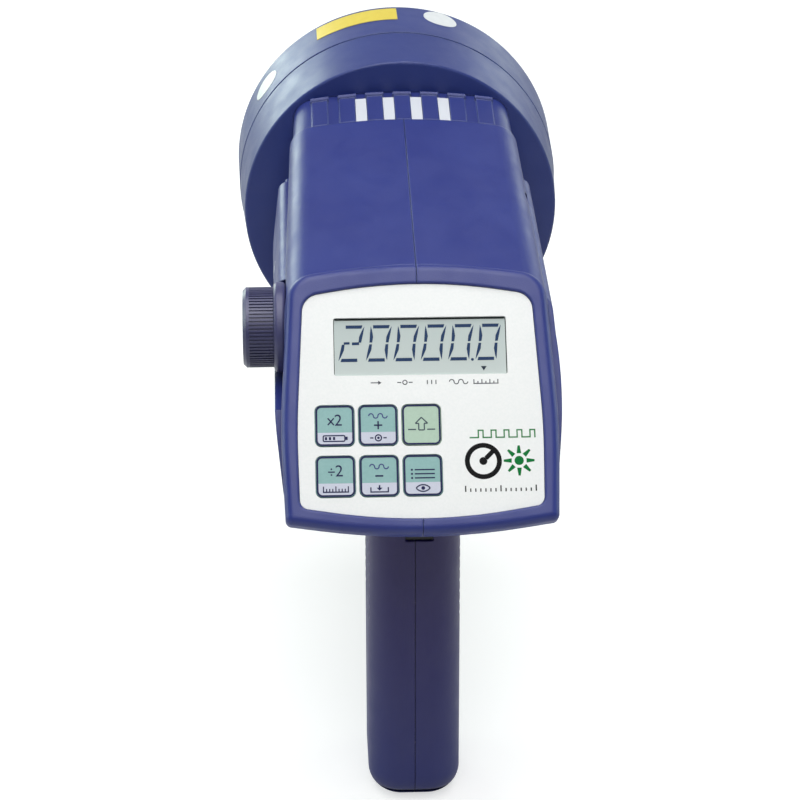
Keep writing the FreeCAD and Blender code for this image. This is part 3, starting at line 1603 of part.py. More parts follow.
def main():
    os.makedirs("parts", exist_ok=True)
    left, right = housing_halves()
    save("left_housing", left)
    save("right_housing", right)
    save("panel_sheet", panel_sheet())
    save("panel_plate", panel_plate())
    for row_names, s in zip(key_names, key_rows_s):
        for name, x in zip(row_names, key_columns_x):
            save(name, key_cap(x, s))
    save("key_domes", key_domes())
    save("display", display())
    save("display_contacts", display_contacts())
    save("display_board", display_board())
    save("board_standoffs", standoffs())
    save("control_board", control_board())
    save("control_chip", control_chip())
    save("power_board", power_board())
    save("flash_capacitors", flash_capacitors())
    save("transformer_core", transformer_core())
    save("transformer_winding", transformer_winding())
    save("trigger_coil", trigger_coil())
    save("dial", dial())
    save("dial_skirt", dial_skirt())
    save("dial_shaft", dial_shaft())
    save("dial_encoder", encoder())
    save("encoder_nut", encoder_nut())
    for name, (y, z) in zip(("input", "output"), jack_places()):
        save(name + "_jack", sync_jack(y, z))
        save(name + "_jack_nut", sync_jack_nut(y, z))
    save("charge_socket", charge_socket())
    save("trigger", trigger())
    save("trigger_pin", trigger_pin())
    save("trigger_switch", trigger_switch())
    save("switch_plunger", switch_plunger())
    save("trigger_lock", trigger_lock())
    save("battery_cells", battery_cells())
    save("cell_links", cell_links())
    save("tripod_insert", tripod_insert())
    save("housing_screws", housing_screws())
    save("head_collar", head_collar())
    save("lamp_carrier", lamp_carrier())
    save("head_shell", head_shell())
    save("front_ring", front_ring())
    save("lens", lens())
    save("lens_gasket", lens_gasket())
    save("reflector", reflector())
    save("lamp_socket", lamp_socket())
    save("lamp_base", lamp_base())
    save("lamp_pins", lamp_pins())
    save("lamp_envelope", lamp_envelope())
    save("flash_tube", flash_tube())
    save("electrodes", electrodes())
    save("head_screws", head_screws())
    save("yellow_sticker", yellow_sticker())
    save("white_stickers", white_stickers())


main()
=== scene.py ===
import json
import math
import bmesh
import bpy
from mathutils import Matrix, Vector
from mathutils.bvhtree import BVHTree


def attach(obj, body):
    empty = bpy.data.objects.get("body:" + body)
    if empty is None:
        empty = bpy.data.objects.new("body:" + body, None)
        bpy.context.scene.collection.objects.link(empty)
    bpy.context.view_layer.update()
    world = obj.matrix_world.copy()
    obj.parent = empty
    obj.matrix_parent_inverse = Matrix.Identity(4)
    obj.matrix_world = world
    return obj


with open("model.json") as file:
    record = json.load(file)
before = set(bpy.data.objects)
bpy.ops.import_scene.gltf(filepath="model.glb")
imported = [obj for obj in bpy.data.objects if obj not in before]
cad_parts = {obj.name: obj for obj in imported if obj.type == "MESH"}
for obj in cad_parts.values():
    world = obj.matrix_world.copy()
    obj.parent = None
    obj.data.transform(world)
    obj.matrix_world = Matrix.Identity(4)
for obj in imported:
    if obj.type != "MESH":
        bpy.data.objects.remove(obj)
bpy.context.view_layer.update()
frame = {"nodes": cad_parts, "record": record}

# Hand-held xenon stroboscope: blue clamshell with a pistol grip, white control panel with a display
# and six keys, ribbed dial on the left and a round lamp head. Sizes are millimetres unless noted.

mm = 0.001               # one millimetre in scene units
nodes = frame["nodes"]
print("frame:", len(nodes), "nodes")


# Colours and nodes

def toLinear(hexColour):
    channels = []
    for start in (1, 3, 5):
        value = int(hexColour[start:start + 2], 16) / 255
        channels.append(value / 12.92 if value <= 0.04045 else ((value + 0.055) / 1.055) ** 2.4)
    return (*channels, 1.0)


def shades(colour, deep, pale):    # a colour and the two between which it clouds
    return {"colour": colour, "deep": deep, "pale": pale}


def addNode(tree, kind, settings=None, inputs=None):    # one node with its settings and its links
    node = tree.nodes.new(kind)
    for name, value in (settings or {}).items():
        setattr(node, name, value)
    for name, value in (inputs or {}).items():
        if isinstance(value, bpy.types.NodeSocket):
            tree.links.new(value, node.inputs[name])
        else:
            node.inputs[name].default_value = value
    return node


def startMaterial(name, look):
    material = bpy.data.materials.new(name)
    material.use_nodes = True
    tree = material.node_tree
    shader = tree.nodes["Principled BSDF"]
    for socket, key in (("Metallic", "metallic"), ("Roughness", "roughness"), ("IOR", "ior"),
                        ("Coat Weight", "coat"), ("Coat Roughness", "coatRoughness"),
                        ("Transmission Weight", "transmission"), ("Specular IOR Level", "specular")):
        if key in look:
            shader.inputs[socket].default_value = look[key]
    shader.inputs["Base Color"].default_value = toLinear(look["colour"])
    coords = addNode(tree, "ShaderNodeTexCoord")
    place = addNode(tree, "ShaderNodeMapping", inputs={"Vector": coords.outputs["Object"],
                                                       "Scale": (1 / mm, 1 / mm, 1 / mm)})
    return material, tree, shader, place.outputs["Vector"]    # the vector counts millimetres


def speckle(tree, place, size, detail=2.0):    # noise whose blotches are about size millimetres wide
    noise = addNode(tree, "ShaderNodeTexNoise", inputs={"Vector": place, "Scale": 1 / size, "Detail": detail})
    return noise.outputs["Fac"]


def tintBy(tree, shader, factor, low, high, lowPoint=0.35, highPoint=0.65):    # base colour from low to high
    ramp = addNode(tree, "ShaderNodeValToRGB", inputs={"Fac": factor})
    ramp.color_ramp.elements[0].position = lowPoint
    ramp.color_ramp.elements[0].color = toLinear(low)
    ramp.color_ramp.elements[1].position = highPoint
    ramp.color_ramp.elements[1].color = toLinear(high)
    tree.links.new(ramp.outputs["Color"], shader.inputs["Base Color"])
    return ramp


def roughBy(tree, shader, factor, low, high):    # roughness from low to high
    spread = addNode(tree, "ShaderNodeMapRange", inputs={"Value": factor, "From Min": 0.3, "From Max": 0.7,
                                                         "To Min": low, "To Max": high})
    tree.links.new(spread.outputs["Result"], shader.inputs["Roughness"])


def bumpBy(tree, shader, heights, rounding=None):    # heights: (factor, depth in millimetres) pairs
    normal = None
    if rounding:    # softens the shading of sharp edges, as a moulded edge has a small radius
        normal = addNode(tree, "ShaderNodeBevel", {"samples": 4}, {"Radius": rounding * mm}).outputs["Normal"]
    for factor, depth in heights:
        bump = addNode(tree, "ShaderNodeBump", inputs={"Height": factor, "Distance": depth * mm})
        if normal:
            tree.links.new(normal, bump.inputs["Normal"])
        normal = bump.outputs["Normal"]
    tree.links.new(normal, shader.inputs["Normal"])


# Materials

blotch = {"cloud": 28.0, "print": 0.8, "sheetGloss": 6.0, "bloom": 1.2, "rubberGrain": 0.4, "stain": 2.5,
          "metalGloss": 1.5, "mirrorStain": 12.0, "mirrorGloss": 5.0, "mirrorPeel": 1.2, "smear": 16.0,
          "dust": 7.0, "vinylCloud": 3.0, "vinylCrease": 1.0, "inkMesh": 0.35}    # widths of the patches
relief = {"pixels": 0.002, "rubber": 0.03, "tracks": 0.03, "toolMarks": 0.006, "spinning": 0.01,
          "peel": 0.008, "dust": 0.01, "creases": 0.02}    # depths
edgeHighlightMask = {"samples": 6, "flat": 0.98, "bent": 0.72}    # match of the two normals on a face and on an edge, for the painted edge highlight
handling = {"size": 9.0, "detail": 4.0, "low": 0.05, "high": 0.06}    # smears that vary the gloss
# edge is the colour of the painted highlight along the edges of the blue mouldings
absBlue = {**shades("#283480", "#26327E", "#2A3783"), "roughness": 0.42, "ior": 1.53,
           "grain": 0.45, "grainDepth": 0.035, "rounding": 0.8, "edge": "#7E8CC4", "edgeGain": 1.2}
# painted shade on the grip, from its foot up to its head under the body, then back to the body's blue
gripPaintedShade = {"foot": "#232A70", "head": "#322762", "footZ": 10.0, "headZ": 108.0, "endZ": 122.0}


def paintEdgeHighlight(tree, shader, look):    # painted highlight: edges turn paler where the rounded normal leaves the flat one
    colour = shader.inputs["Base Color"].links[0].from_socket
    soft = addNode(tree, "ShaderNodeBevel", {"samples": edgeHighlightMask["samples"]},
                   {"Radius": look["rounding"] * mm})
    flat = addNode(tree, "ShaderNodeNewGeometry")
    match = addNode(tree, "ShaderNodeVectorMath", {"operation": "DOT_PRODUCT"},
                    {0: soft.outputs["Normal"], 1: flat.outputs["Normal"]})
    edgeHighlightShare = addNode(tree, "ShaderNodeMapRange",
                   inputs={"Value": match.outputs["Value"], "From Min": edgeHighlightMask["flat"],
                           "From Max": edgeHighlightMask["bent"], "To Max": look["edgeGain"] / 2})
    mixed = addNode(tree, "ShaderNodeMix", {"data_type": "RGBA"}, {0: edgeHighlightShare.outputs["Result"]})
    tree.links.new(colour, mixed.inputs[6])
    mixed.inputs[7].default_value = toLinear(look["edge"])
    tree.links.new(mixed.outputs[2], shader.inputs["Base Color"])


def mouldedAbs(name, look):    # spark-eroded mould: a fine even grain, soft highlights, faint flow clouds
    material, tree, shader, place = startMaterial(name, look)
    clouds = speckle(tree, place, blotch["cloud"], 3.0)
    tintBy(tree, shader, clouds, look["deep"], look["pale"])
    # painted highlight along the edges, where the look gives an edge colour
    if "edge" in look:
        paintEdgeHighlight(tree, shader, look)
    grain = speckle(tree, place, look["grain"], 1.0)
    handled = speckle(tree, place, handling["size"], handling["detail"])
    gloss = look["roughness"]
    roughBy(tree, shader, handled, gloss - handling["low"], gloss + handling["high"])
    bumpBy(tree, shader, [(grain, look["grainDepth"])], look.get("rounding"))
    return material


def shellWithGripShade(name, look):    # the body's blue, with painted shade on the grip: darker, and warmer towards its top under the body
    material = mouldedAbs(name, look)
    tree = material.node_tree
    shader = tree.nodes["Principled BSDF"]
    body = shader.inputs["Base Color"].links[0].from_socket
    coords = addNode(tree, "ShaderNodeTexCoord")
    height = addNode(tree, "ShaderNodeSeparateXYZ", inputs={"Vector": coords.outputs["Object"]}).outputs["Z"]
    rise = addNode(tree, "ShaderNodeMapRange", inputs={"Value": height, "From Min": gripPaintedShade["footZ"] * mm,
                                                       "From Max": gripPaintedShade["headZ"] * mm})
    # the grip's painted shade, from its foot to its head
    coat = addNode(tree, "ShaderNodeMix", {"data_type": "RGBA"}, {0: rise.outputs["Result"]})
    coat.inputs[6].default_value = toLinear(gripPaintedShade["foot"])
    coat.inputs[7].default_value = toLinear(gripPaintedShade["head"])
    end = addNode(tree, "ShaderNodeMapRange", inputs={"Value": height, "From Min": gripPaintedShade["headZ"] * mm,
                                                      "From Max": gripPaintedShade["endZ"] * mm})
    whole = addNode(tree, "ShaderNodeMix", {"data_type": "RGBA"}, {0: end.outputs["Result"]})
    tree.links.new(coat.outputs[2], whole.inputs[6])
    tree.links.new(body, whole.inputs[7])
    tree.links.new(whole.outputs[2], shader.inputs["Base Color"])
    return material


polyesterSheet = {**shades("#F2F4F3", "#F0F3F2", "#F4F6F5"), "roughness": 0.38, "ior": 1.57,
                  "orangePeel": 1.6, "peelDepth": 0.012}


def printedPolyester(name, look):    # screen-printed sheet: satin, a faint orange peel and print grain
    material, tree, shader, place = startMaterial(name, look)
    tintBy(tree, shader, speckle(tree, place, blotch["print"], 2.0), look["deep"], look["pale"])
    gloss = look["roughness"]
    roughBy(tree, shader, speckle(tree, place, blotch["sheetGloss"], 3.0), gloss - 0.04, gloss + 0.05)
    bumpBy(tree, shader, [(speckle(tree, place, look["orangePeel"], 1.0), look["peelDepth"])])
    return material


wavesPerUnit = 20    # bands that a wave texture draws across one unit at scale 1
# deep and pale are the two ends of the display's painted shade, from its top to its foot
liquidCrystal = {**shades("#B0BEBB", "#A9B8B6", "#B7C3C0"), "roughness": 0.22, "ior": 1.5,
                 "coat": 0.3, "coatRoughness": 0.08, "pixel": 0.30, "lowZ": 170.0, "highZ": 185.0}


def displayPane(name, look):    # reflective display: grey-green polariser under glass, with painted shade that darkens it towards its top, paler towards its foot
    material, tree, shader, place = startMaterial(name, look)
    parts = addNode(tree, "ShaderNodeSeparateXYZ", inputs={"Vector": place})
    paintedTopShade = addNode(tree, "ShaderNodeMapRange", inputs={"Value": parts.outputs["Z"], "From Min": look["highZ"],
                                                       "From Max": look["lowZ"]})
    tintBy(tree, shader, paintedTopShade.outputs["Result"], look["deep"], look["pale"], 0.0, 1.0)
    rows = addNode(tree, "ShaderNodeTexWave", {"bands_direction": "X"},
                   {"Vector": place, "Scale": 1 / (look["pixel"] * wavesPerUnit), "Distortion": 0.0})
    bumpBy(tree, shader, [(rows.outputs["Fac"], relief["pixels"])])
    return material


def softRubber(name, look):    # matt moulded rubber with a dusty bloom
    material, tree, shader, place = startMaterial(name, look)
    tintBy(tree, shader, speckle(tree, place, blotch["bloom"], 3.0), look["deep"], look["pale"])
    bumpBy(tree, shader, [(speckle(tree, place, blotch["rubberGrain"], 1.0), relief["rubber"])])
    return material


def solderResist(name, look):    # green resist over copper tracks that run in two directions
    material, tree, shader, place = startMaterial(name, look)
    tracks = addNode(tree, "ShaderNodeTexBrick", {"offset": 0.5},
                     {"Vector": place, "Color1": toLinear(look["colour"]), "Color2": toLinear(look["pale"]),
                      "Mortar": toLinear(look["deep"]), "Scale": 1 / look["pitch"], "Mortar Size": 0.03,
                      "Brick Width": 2.6, "Row Height": 0.6})
    tree.links.new(tracks.outputs["Color"], shader.inputs["Base Color"])
    bumpBy(tree, shader, [(tracks.outputs["Fac"], relief["tracks"])])
    return material


def turnedMetal(name, look):    # lathe-turned or drawn metal: fine rings that stretch the highlights
    material, tree, shader, place = startMaterial(name, look)
    tintBy(tree, shader, speckle(tree, place, blotch["stain"], 4.0), look["deep"], look["pale"])
    lathe = {"wave_type": "RINGS", "rings_direction": look.get("rings", "X")}
    rings = addNode(tree, "ShaderNodeTexWave", lathe,
                    {"Vector": place, "Scale": 1 / (look["toolMark"] * wavesPerUnit), "Distortion": 0.4})
    gloss = look["roughness"]
    roughBy(tree, shader, speckle(tree, place, blotch["metalGloss"], 3.0), gloss - 0.06, gloss + 0.08)
    bumpBy(tree, shader, [(rings.outputs["Fac"], relief["toolMarks"])])
    return material


def polishedReflector(name, look):    # vacuum-metallised bowl: bright, with faint spinning rings
    material, tree, shader, place = startMaterial(name, look)
    rings = addNode(tree, "ShaderNodeTexWave", {"wave_type": "RINGS", "rings_direction": "Y"},
                    {"Vector": place, "Scale": 1 / (2 * wavesPerUnit), "Distortion": 0.6})
    tintBy(tree, shader, speckle(tree, place, blotch["mirrorStain"], 3.0), look["deep"], look["pale"])
    gloss = look["roughness"]
    roughBy(tree, shader, speckle(tree, place, blotch["mirrorGloss"], 4.0), gloss, gloss + 0.06)
    peel = speckle(tree, place, blotch["mirrorPeel"], 1.0)
    bumpBy(tree, shader, [(rings.outputs["Fac"], relief["spinning"]), (peel, relief["peel"])])
    return material


def clearPlastic(name, look):    # clear moulding: mostly transmission, faint smears and dust
    material, tree, shader, place = startMaterial(name, look)
    gloss = look["roughness"]
    roughBy(tree, shader, speckle(tree, place, blotch["smear"], 5.0), gloss, gloss + 0.05)
    bumpBy(tree, shader, [(speckle(tree, place, blotch["dust"], 2.0), relief["dust"])])
    return material


def woundCopper(name, look):    # enamelled turns of wire side by side
    material, tree, shader, place = startMaterial(name, look)
    turns = addNode(tree, "ShaderNodeTexWave", {"bands_direction": "Z"},
                    {"Vector": place, "Scale": 1 / (look["wire"] * wavesPerUnit), "Distortion": 0.1})
    tintBy(tree, shader, turns.outputs["Fac"], look["deep"], look["pale"], 0.1, 0.8)
    bumpBy(tree, shader, [(turns.outputs["Fac"], look["wire"] / 2)])
    return material


def vinylSticker(name, look):    # blank vinyl: satin film with tiny creases at the edge
    material, tree, shader, place = startMaterial(name, look)
    tintBy(tree, shader, speckle(tree, place, blotch["vinylCloud"], 4.0), look["deep"], look["pale"])
    bumpBy(tree, shader, [(speckle(tree, place, blotch["vinylCrease"], 2.0), relief["creases"])])
    return material


def inkFilm(name, look):    # screen ink: matt and nearly flat, a little uneven where the mesh printed it
    material, tree, shader, place = startMaterial(name, {**look, "roughness": 0.6, "specular": 0.12})
    tintBy(tree, shader, speckle(tree, place, blotch["inkMesh"], 2.0), look["deep"], look["pale"])
    return material


finishes = {    # slot: how it is made, its name and its look
    # the shells' edge colour is a painted highlight, weaker on the body shell
    "blue_shell": (shellWithGripShade, "shellBlueAbs", {**absBlue, "edgeGain": 0.5}),
    "blue_collar": (mouldedAbs, "collarBlueAbs", {**absBlue, **shades("#28347C", "#26327A", "#2A367E")}),
    "blue_head": (mouldedAbs, "headBlueAbs", {**absBlue, **shades("#2A3A7E", "#28387C", "#2C3C80")}),
    "blue_ring": (mouldedAbs, "ringBlueAbs", {**absBlue, **shades("#2B3B7E", "#29397C", "#2D3D81")}),
    "white_panel": (printedPolyester, "panelWhitePolyester", polyesterSheet),
    "display_glass": (displayPane, "displayGreyGreen", liquidCrystal),
    "key_teal": (printedPolyester, "keyTealPolyester",
        {**polyesterSheet, **shades("#80B0AE", "#7EAEAC", "#82B2B0")}),
    "key_green": (printedPolyester, "keyPaleGreenPolyester",
        {**polyesterSheet, **shades("#ABC7B2", "#A9C5B0", "#ADC9B4")}),
    "grey_plate": (mouldedAbs, "plateGreyAbs",
        {**shades("#606266", "#5A5C60", "#66686C"), "roughness": 0.5, "grain": 0.6, "grainDepth": 0.03}),
    "contact_rubber": (softRubber, "contactRubber",
        {**shades("#26262A", "#222226", "#2C2C30"), "roughness": 0.75}),
    "gasket_rubber": (softRubber, "gasketRubber",
        {**shades("#1D1E20", "#18191B", "#232426"), "roughness": 0.7}),
    "circuit_board": (solderResist, "boardGreenResist",
        {**shades("#1E5B34", "#17482A", "#2A6E40"), "roughness": 0.35, "pitch": 2.4}),
    "chip_black": (mouldedAbs, "chipEpoxy",
        {**shades("#1D1D1F", "#191A1C", "#232325"), "roughness": 0.55, "grain": 0.3, "grainDepth": 0.02}),
    "standoff_steel": (turnedMetal, "standoffSteel",
        {**shades("#B9BABD", "#ADAEB2", "#C6C7CA"), "metallic": 1.0, "roughness": 0.3, "toolMark": 0.3}),
    "dome_steel": (turnedMetal, "domeSteel",
        {**shades("#C4C5C8", "#B8B9BD", "#D0D1D4"), "metallic": 1.0, "roughness": 0.22, "toolMark": 0.3}),
    "capacitor_film": (vinylSticker, "capacitorSleeve",
        {**shades("#C9A233", "#BF982C", "#D2AC3E"), "roughness": 0.3}),
    "core_ferrite": (mouldedAbs, "sinteredFerrite",
        {**shades("#35363A", "#303135", "#3C3D41"), "roughness": 0.6, "grain": 0.25, "grainDepth": 0.05}),
    "copper_winding": (woundCopper, "enamelledCopper",
        {**shades("#B8703C", "#7C4420", "#CF8850"), "metallic": 0.9, "roughness": 0.3, "wire": 0.4}),
    "coil_black": (mouldedAbs, "coilEpoxy",
        {**shades("#222327", "#1D1E22", "#28292D"), "roughness": 0.4, "grain": 0.5, "grainDepth": 0.02}),
    "dial_plastic": (mouldedAbs, "dialNylon",
        {**shades("#3F4066", "#3A3B60", "#45466D"),
         "roughness": 0.3, "ior": 1.53, "grain": 0.5, "grainDepth": 0.02, "rounding": 0.12}),
    "skirt_plastic": (mouldedAbs, "skirtNylon",
        {**shades("#45466E", "#404168", "#4C4D77"),
         "roughness": 0.36, "ior": 1.53, "grain": 0.5, "grainDepth": 0.02, "rounding": 0.2}),
    "shaft_steel": (turnedMetal, "shaftSteel",
        {**shades("#B4B5B8", "#A8A9AD", "#C2C3C6"), "metallic": 1.0, "roughness": 0.28, "toolMark": 0.25}),
    "encoder_black": (mouldedAbs, "encoderNylon",
        {**shades("#202124", "#1B1C1F", "#26272A"), "roughness": 0.5, "grain": 0.4, "grainDepth": 0.02}),
    "nut_steel": (turnedMetal, "nickelledNut",
        {**shades("#C0C1C3", "#B2B3B6", "#CECFD1"), "metallic": 1.0, "roughness": 0.25, "toolMark": 0.25}),
    # the socket's edge colour is a painted highlight round its openings
    "socket_black": (mouldedAbs, "socketNylon",
        {**shades("#1F2023", "#1A1B1E", "#252629"),
         "roughness": 0.48, "grain": 0.4, "grainDepth": 0.02, "rounding": 0.25,
         "edge": "#9AA2B4", "edgeGain": 1.2}),
    "trigger_plastic": (mouldedAbs, "triggerBlueAbs",
        {**absBlue, **shades("#232D6A", "#212B67", "#252F6D"), "rounding": 0.6}),
    "switch_black": (mouldedAbs, "switchNylon",
        {**shades("#232427", "#1E1F22", "#292A2D"), "roughness": 0.5, "grain": 0.4, "grainDepth": 0.02}),
    "plunger_red": (mouldedAbs, "plungerRedAcetal",
        {**shades("#A52A24", "#9C2620", "#AE302A"), "roughness": 0.3, "grain": 0.4, "grainDepth": 0.01}),
    "lock_plastic": (mouldedAbs, "lockNylon",
        {**shades("#26272B", "#212226", "#2C2D31"),
         "roughness": 0.42, "grain": 0.4, "grainDepth": 0.02, "rounding": 0.15}),
    "cell_wrap": (vinylSticker, "cellShrinkWrap",
        {**shades("#2C7A4A", "#277243", "#338252"), "roughness": 0.22}),
    "nickel_strip": (turnedMetal, "nickelStrip",
        {**shades("#BDBBB4", "#B0AEA7", "#CBC9C2"), "metallic": 1.0, "roughness": 0.3, "toolMark": 0.3}),
    "insert_brass": (turnedMetal, "turnedBrass",
        {**shades("#C9A65A", "#BC9950", "#D5B368"),
         "metallic": 1.0, "roughness": 0.26, "toolMark": 0.3, "rings": "Z"}),
    "screw_steel": (turnedMetal, "blackenedScrew",
        {**shades("#3A3B40", "#333439", "#45464B"), "metallic": 0.9, "roughness": 0.36, "toolMark": 0.25}),
    "white_carrier": (mouldedAbs, "carrierWhiteNylon",
        {**shades("#DADEE6", "#D7DBE3", "#DDE1E9"), "roughness": 0.4, "grain": 0.5, "grainDepth": 0.015}),
    "lens_clear": (clearPlastic, "lensPolycarbonate",
        {"colour": "#F2F6F8", "roughness": 0.03, "ior": 1.58, "transmission": 1.0}),
    "reflector_mirror": (polishedReflector, "metallisedReflector",
        {**shades("#E2E4E6", "#DCDEE0", "#E8EAEC"), "metallic": 1.0, "roughness": 0.06}),
    "socket_ceramic": (mouldedAbs, "glazedCeramic",
        {**shades("#E6E1D3", "#E0DBCC", "#ECE7DA"), "roughness": 0.3, "grain": 0.4, "grainDepth": 0.02}),
    "pin_brass": (turnedMetal, "pinBrass",
        {**shades("#CDAF68", "#C0A25C", "#D9BC77"),
         "metallic": 1.0, "roughness": 0.22, "toolMark": 0.2, "rings": "Y"}),
    "lamp_glass": (clearPlastic, "lampQuartz",
        {"colour": "#F6F9FB", "roughness": 0.01, "ior": 1.46, "transmission": 1.0}),
    "sticker_yellow": (vinylSticker, "stickerYellowVinyl",
        {**shades("#DFC94A", "#DDC747", "#E1CC4E"), "roughness": 0.4}),
    "sticker_white": (vinylSticker, "stickerWhiteVinyl",
        {**shades("#DFE3E6", "#DCE0E3", "#E2E6E9"), "roughness": 0.4}),
}

slotMaterials = {slot: make(name, look) for slot, (make, name, look) in finishes.items()}
for part in frame["record"]["subparts"]:
    mesh = nodes[part["node"]].data
    mesh.materials.clear()
    mesh.materials.append(slotMaterials[part["material_slot"]])
print("materials:", len(slotMaterials))

inkLooks = {
    "printNavyInk": shades("#2E3156", "#2C2F54", "#303358"),
    "printVioletInk": shades("#444982", "#424780", "#464B84"),
    "printSlateInk": shades("#46545F", "#44525D", "#485661"),
    "printBlackInk": shades("#0C0C0E", "#0A0A0C", "#0E0E10"),
    "printGreenInk": shades("#0A7838", "#087636", "#0C7A3A"),
    "printLeafInk": shades("#3C874D", "#3A854B", "#3E894F"),
    "printGreyInk": shades("#54575D", "#51545A", "#575A60"),
    "printPaleStrip": shades("#D3D7E6", "#D1D5E4", "#D5D9E8"),
    "segmentBlueGrey": shades("#2A3F63", "#283D61", "#2C4165"),
    "segmentSlate": shades("#2E3745", "#2C3543", "#303947"),
    # dark ink for the painted shadow round the display window
    "windowGasket": shades("#343A3C", "#323839", "#363C3E"),
    "legendWhiteInk": shades("#E8EAEE", "#E3E5EA", "#EEF0F3"),
}
inks = {name: inkFilm(name, look) for name, look in inkLooks.items()}


# Printed marks: flat shapes in millimetres, a thin solid film once placed

panel = {"centre": (0.0, -24.0, 163.6), "tilt": 41.2, "sheetFront": -0.9, "keyFront": -0.75,
         "displayFront": -2.0, "film": 0.03}
panelTurn = Matrix.Rotation(math.radians(90 - panel["tilt"]), 4, "X")
panelPlace = Matrix.Translation(Vector(panel["centre"])) @ panelTurn


def bar(start, end, width, endWidth=None):
    along = (Vector(end) - Vector(start)).normalized()
    side = Vector((-along.y, along.x))
    near = side * width / 2
    far = side * (width if endWidth is None else endWidth) / 2
    return [[Vector(start) - near, Vector(end) - far, Vector(end) + far, Vector(start) + near]]


def disc(centre, radius, sides=28):
    turns = [2 * math.pi * i / sides for i in range(sides)]
    return [[Vector(centre) + Vector((math.cos(t), math.sin(t))) * radius for t in turns]]


def arcBand(centre, radius, width, startDeg, endDeg, steps=24):
    faces = []
    spokes = [math.radians(startDeg + (endDeg - startDeg) * i / steps) for i in range(steps + 1)]
    for a, b in zip(spokes, spokes[1:]):
        rim = [Vector((math.cos(t), math.sin(t))) for t in (a, b)]
        low = radius - width / 2
        high = radius + width / 2
        faces.append([Vector(centre) + rim[0] * low, Vector(centre) + rim[0] * high,
                      Vector(centre) + rim[1] * high, Vector(centre) + rim[1] * low])
    return faces


def roundedLoop(low, high, corner, steps=6):    # points of a rounded rectangle, counter-clockwise
    points = []
    for cx, cy, start in ((high[0] - corner, high[1] - corner, 0), (low[0] + corner, high[1] - corner, 90),
                          (low[0] + corner, low[1] + corner, 180), (high[0] - corner, low[1] + corner, 270)):
        for i in range(steps + 1):
            turn = math.radians(start + 90 * i / steps)
            points.append(Vector((cx + corner * math.cos(turn), cy + corner * math.sin(turn))))
    return points


def roundedFrame(low, high, corner, width):
    outer = roundedLoop(low, high, corner)
    inner = roundedLoop((low[0] + width, low[1] + width), (high[0] - width, high[1] - width), corner - width)
    count = len(outer)
    return [[outer[i], outer[(i + 1) % count], inner[(i + 1) % count], inner[i]] for i in range(count)]


def filmMesh(name, faces, thickness):    # flat faces joined, then given the film's thickness
    mesh = bpy.data.meshes.new(name)
    sheet = bmesh.new()
    for face in faces:
        sheet.faces.new([sheet.verts.new((point.x, point.y, 0)) for point in face])
    bmesh.ops.remove_doubles(sheet, verts=sheet.verts, dist=0.002)
    bmesh.ops.recalc_face_normals(sheet, faces=sheet.faces)
    for face in sheet.faces:
        if face.normal.z > 0:
            face.normal_flip()
    top = bmesh.ops.extrude_face_region(sheet, geom=sheet.faces[:])
    for vert in [item for item in top["geom"] if isinstance(item, bmesh.types.BMVert)]:
        vert.co.z += thickness
    sheet.to_mesh(mesh)
    sheet.free()
    return mesh


def printOnPanel(name, faces, level, ink, body):
    mesh = filmMesh(name, faces, panel["film"])
    mesh.transform(Matrix.Scale(mm, 4) @ panelPlace @ Matrix.Translation((0, 0, level)))
    mesh.materials.append(inks[ink])
    piece = bpy.data.objects.new(name, mesh)
    bpy.context.scene.collection.objects.link(piece)
    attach(piece, body)
    return piece


def glyphFaces(text, size, centre):    # a plain figure or sign, as flat faces
    curve = bpy.data.curves.new("glyph", "FONT")
    curve.body = text
    curve.size = size
    curve.align_x = "CENTER"
    curve.align_y = "CENTER"
    curve.resolution_u = 4
    holder = bpy.data.objects.new("glyph", curve)
    mesh = bpy.data.meshes.new_from_object(holder)
    spots = [Vector((vert.co.x + centre[0], vert.co.y + centre[1])) for vert in mesh.vertices]
    faces = [[spots[i] for i in face.vertices] for face in mesh.polygons]
    bpy.data.objects.remove(holder)
    bpy.data.meshes.remove(mesh)
    return faces


# Keys

keys = {"width": 12.45, "height": 13.4, "corner": 1.9, "columns": (-27.8, -13.75, 0.3), "rows": (-8.0, -24.8),
        "border": 0.6, "borderInset": 0.05, "stripShare": 0.33, "line": 0.42}


def batteryMark(x, s):
    marks = roundedFrame((x - 4.0, s - 1.15), (x + 3.4, s + 1.15), 0.6, keys["line"])
    marks += bar((x + 3.4, s), (x + 4.1, s), 1.1)
    for i in range(3):
        marks += bar((x - 2.9 + 1.3 * i, s - 0.5), (x - 2.9 + 1.3 * i, s + 0.5), 0.75)
    return marks


def discMark(x, s):    # a turning disc between two lines
    marks = arcBand((x, s), 1.0, keys["line"], 0, 360) + disc((x, s), 0.42)
    for side in (-1, 1):
        marks += bar((x + side * 1.6, s), (x + side * 2.7, s), keys["line"])
    return marks


def ruleMark(x, s):
    marks = bar((x - 4.2, s - 0.9), (x + 4.2, s - 0.9), keys["line"])
    for i in range(9):
        marks += bar((x - 4.0 + i, s - 0.7), (x - 4.0 + i, s + (1.0 if i % 4 == 0 else 0.2)), 0.36)
    return marks


def trayMark(x, s):
    marks = bar((x - 3.0, s - 1.05), (x + 3.0, s - 1.05), keys["line"])
    for side in (-1, 1):
        marks += bar((x + side * 2.8, s - 0.9), (x + side * 2.8, s + 0.5), keys["line"])
    tip = [Vector((x - 0.95, s + 0.35)), Vector((x, s - 0.65)), Vector((x + 0.95, s + 0.35))]
    return marks + bar((x, s + 1.2), (x, s + 0.35), 0.5) + [tip]


def eyeMark(x, s):
    lids = arcBand((x, s - 1.75), 2.85, keys["line"], 38, 142)
    lids += arcBand((x, s + 1.75), 2.85, keys["line"], 218, 322)
    return lids + disc((x, s), 0.62)


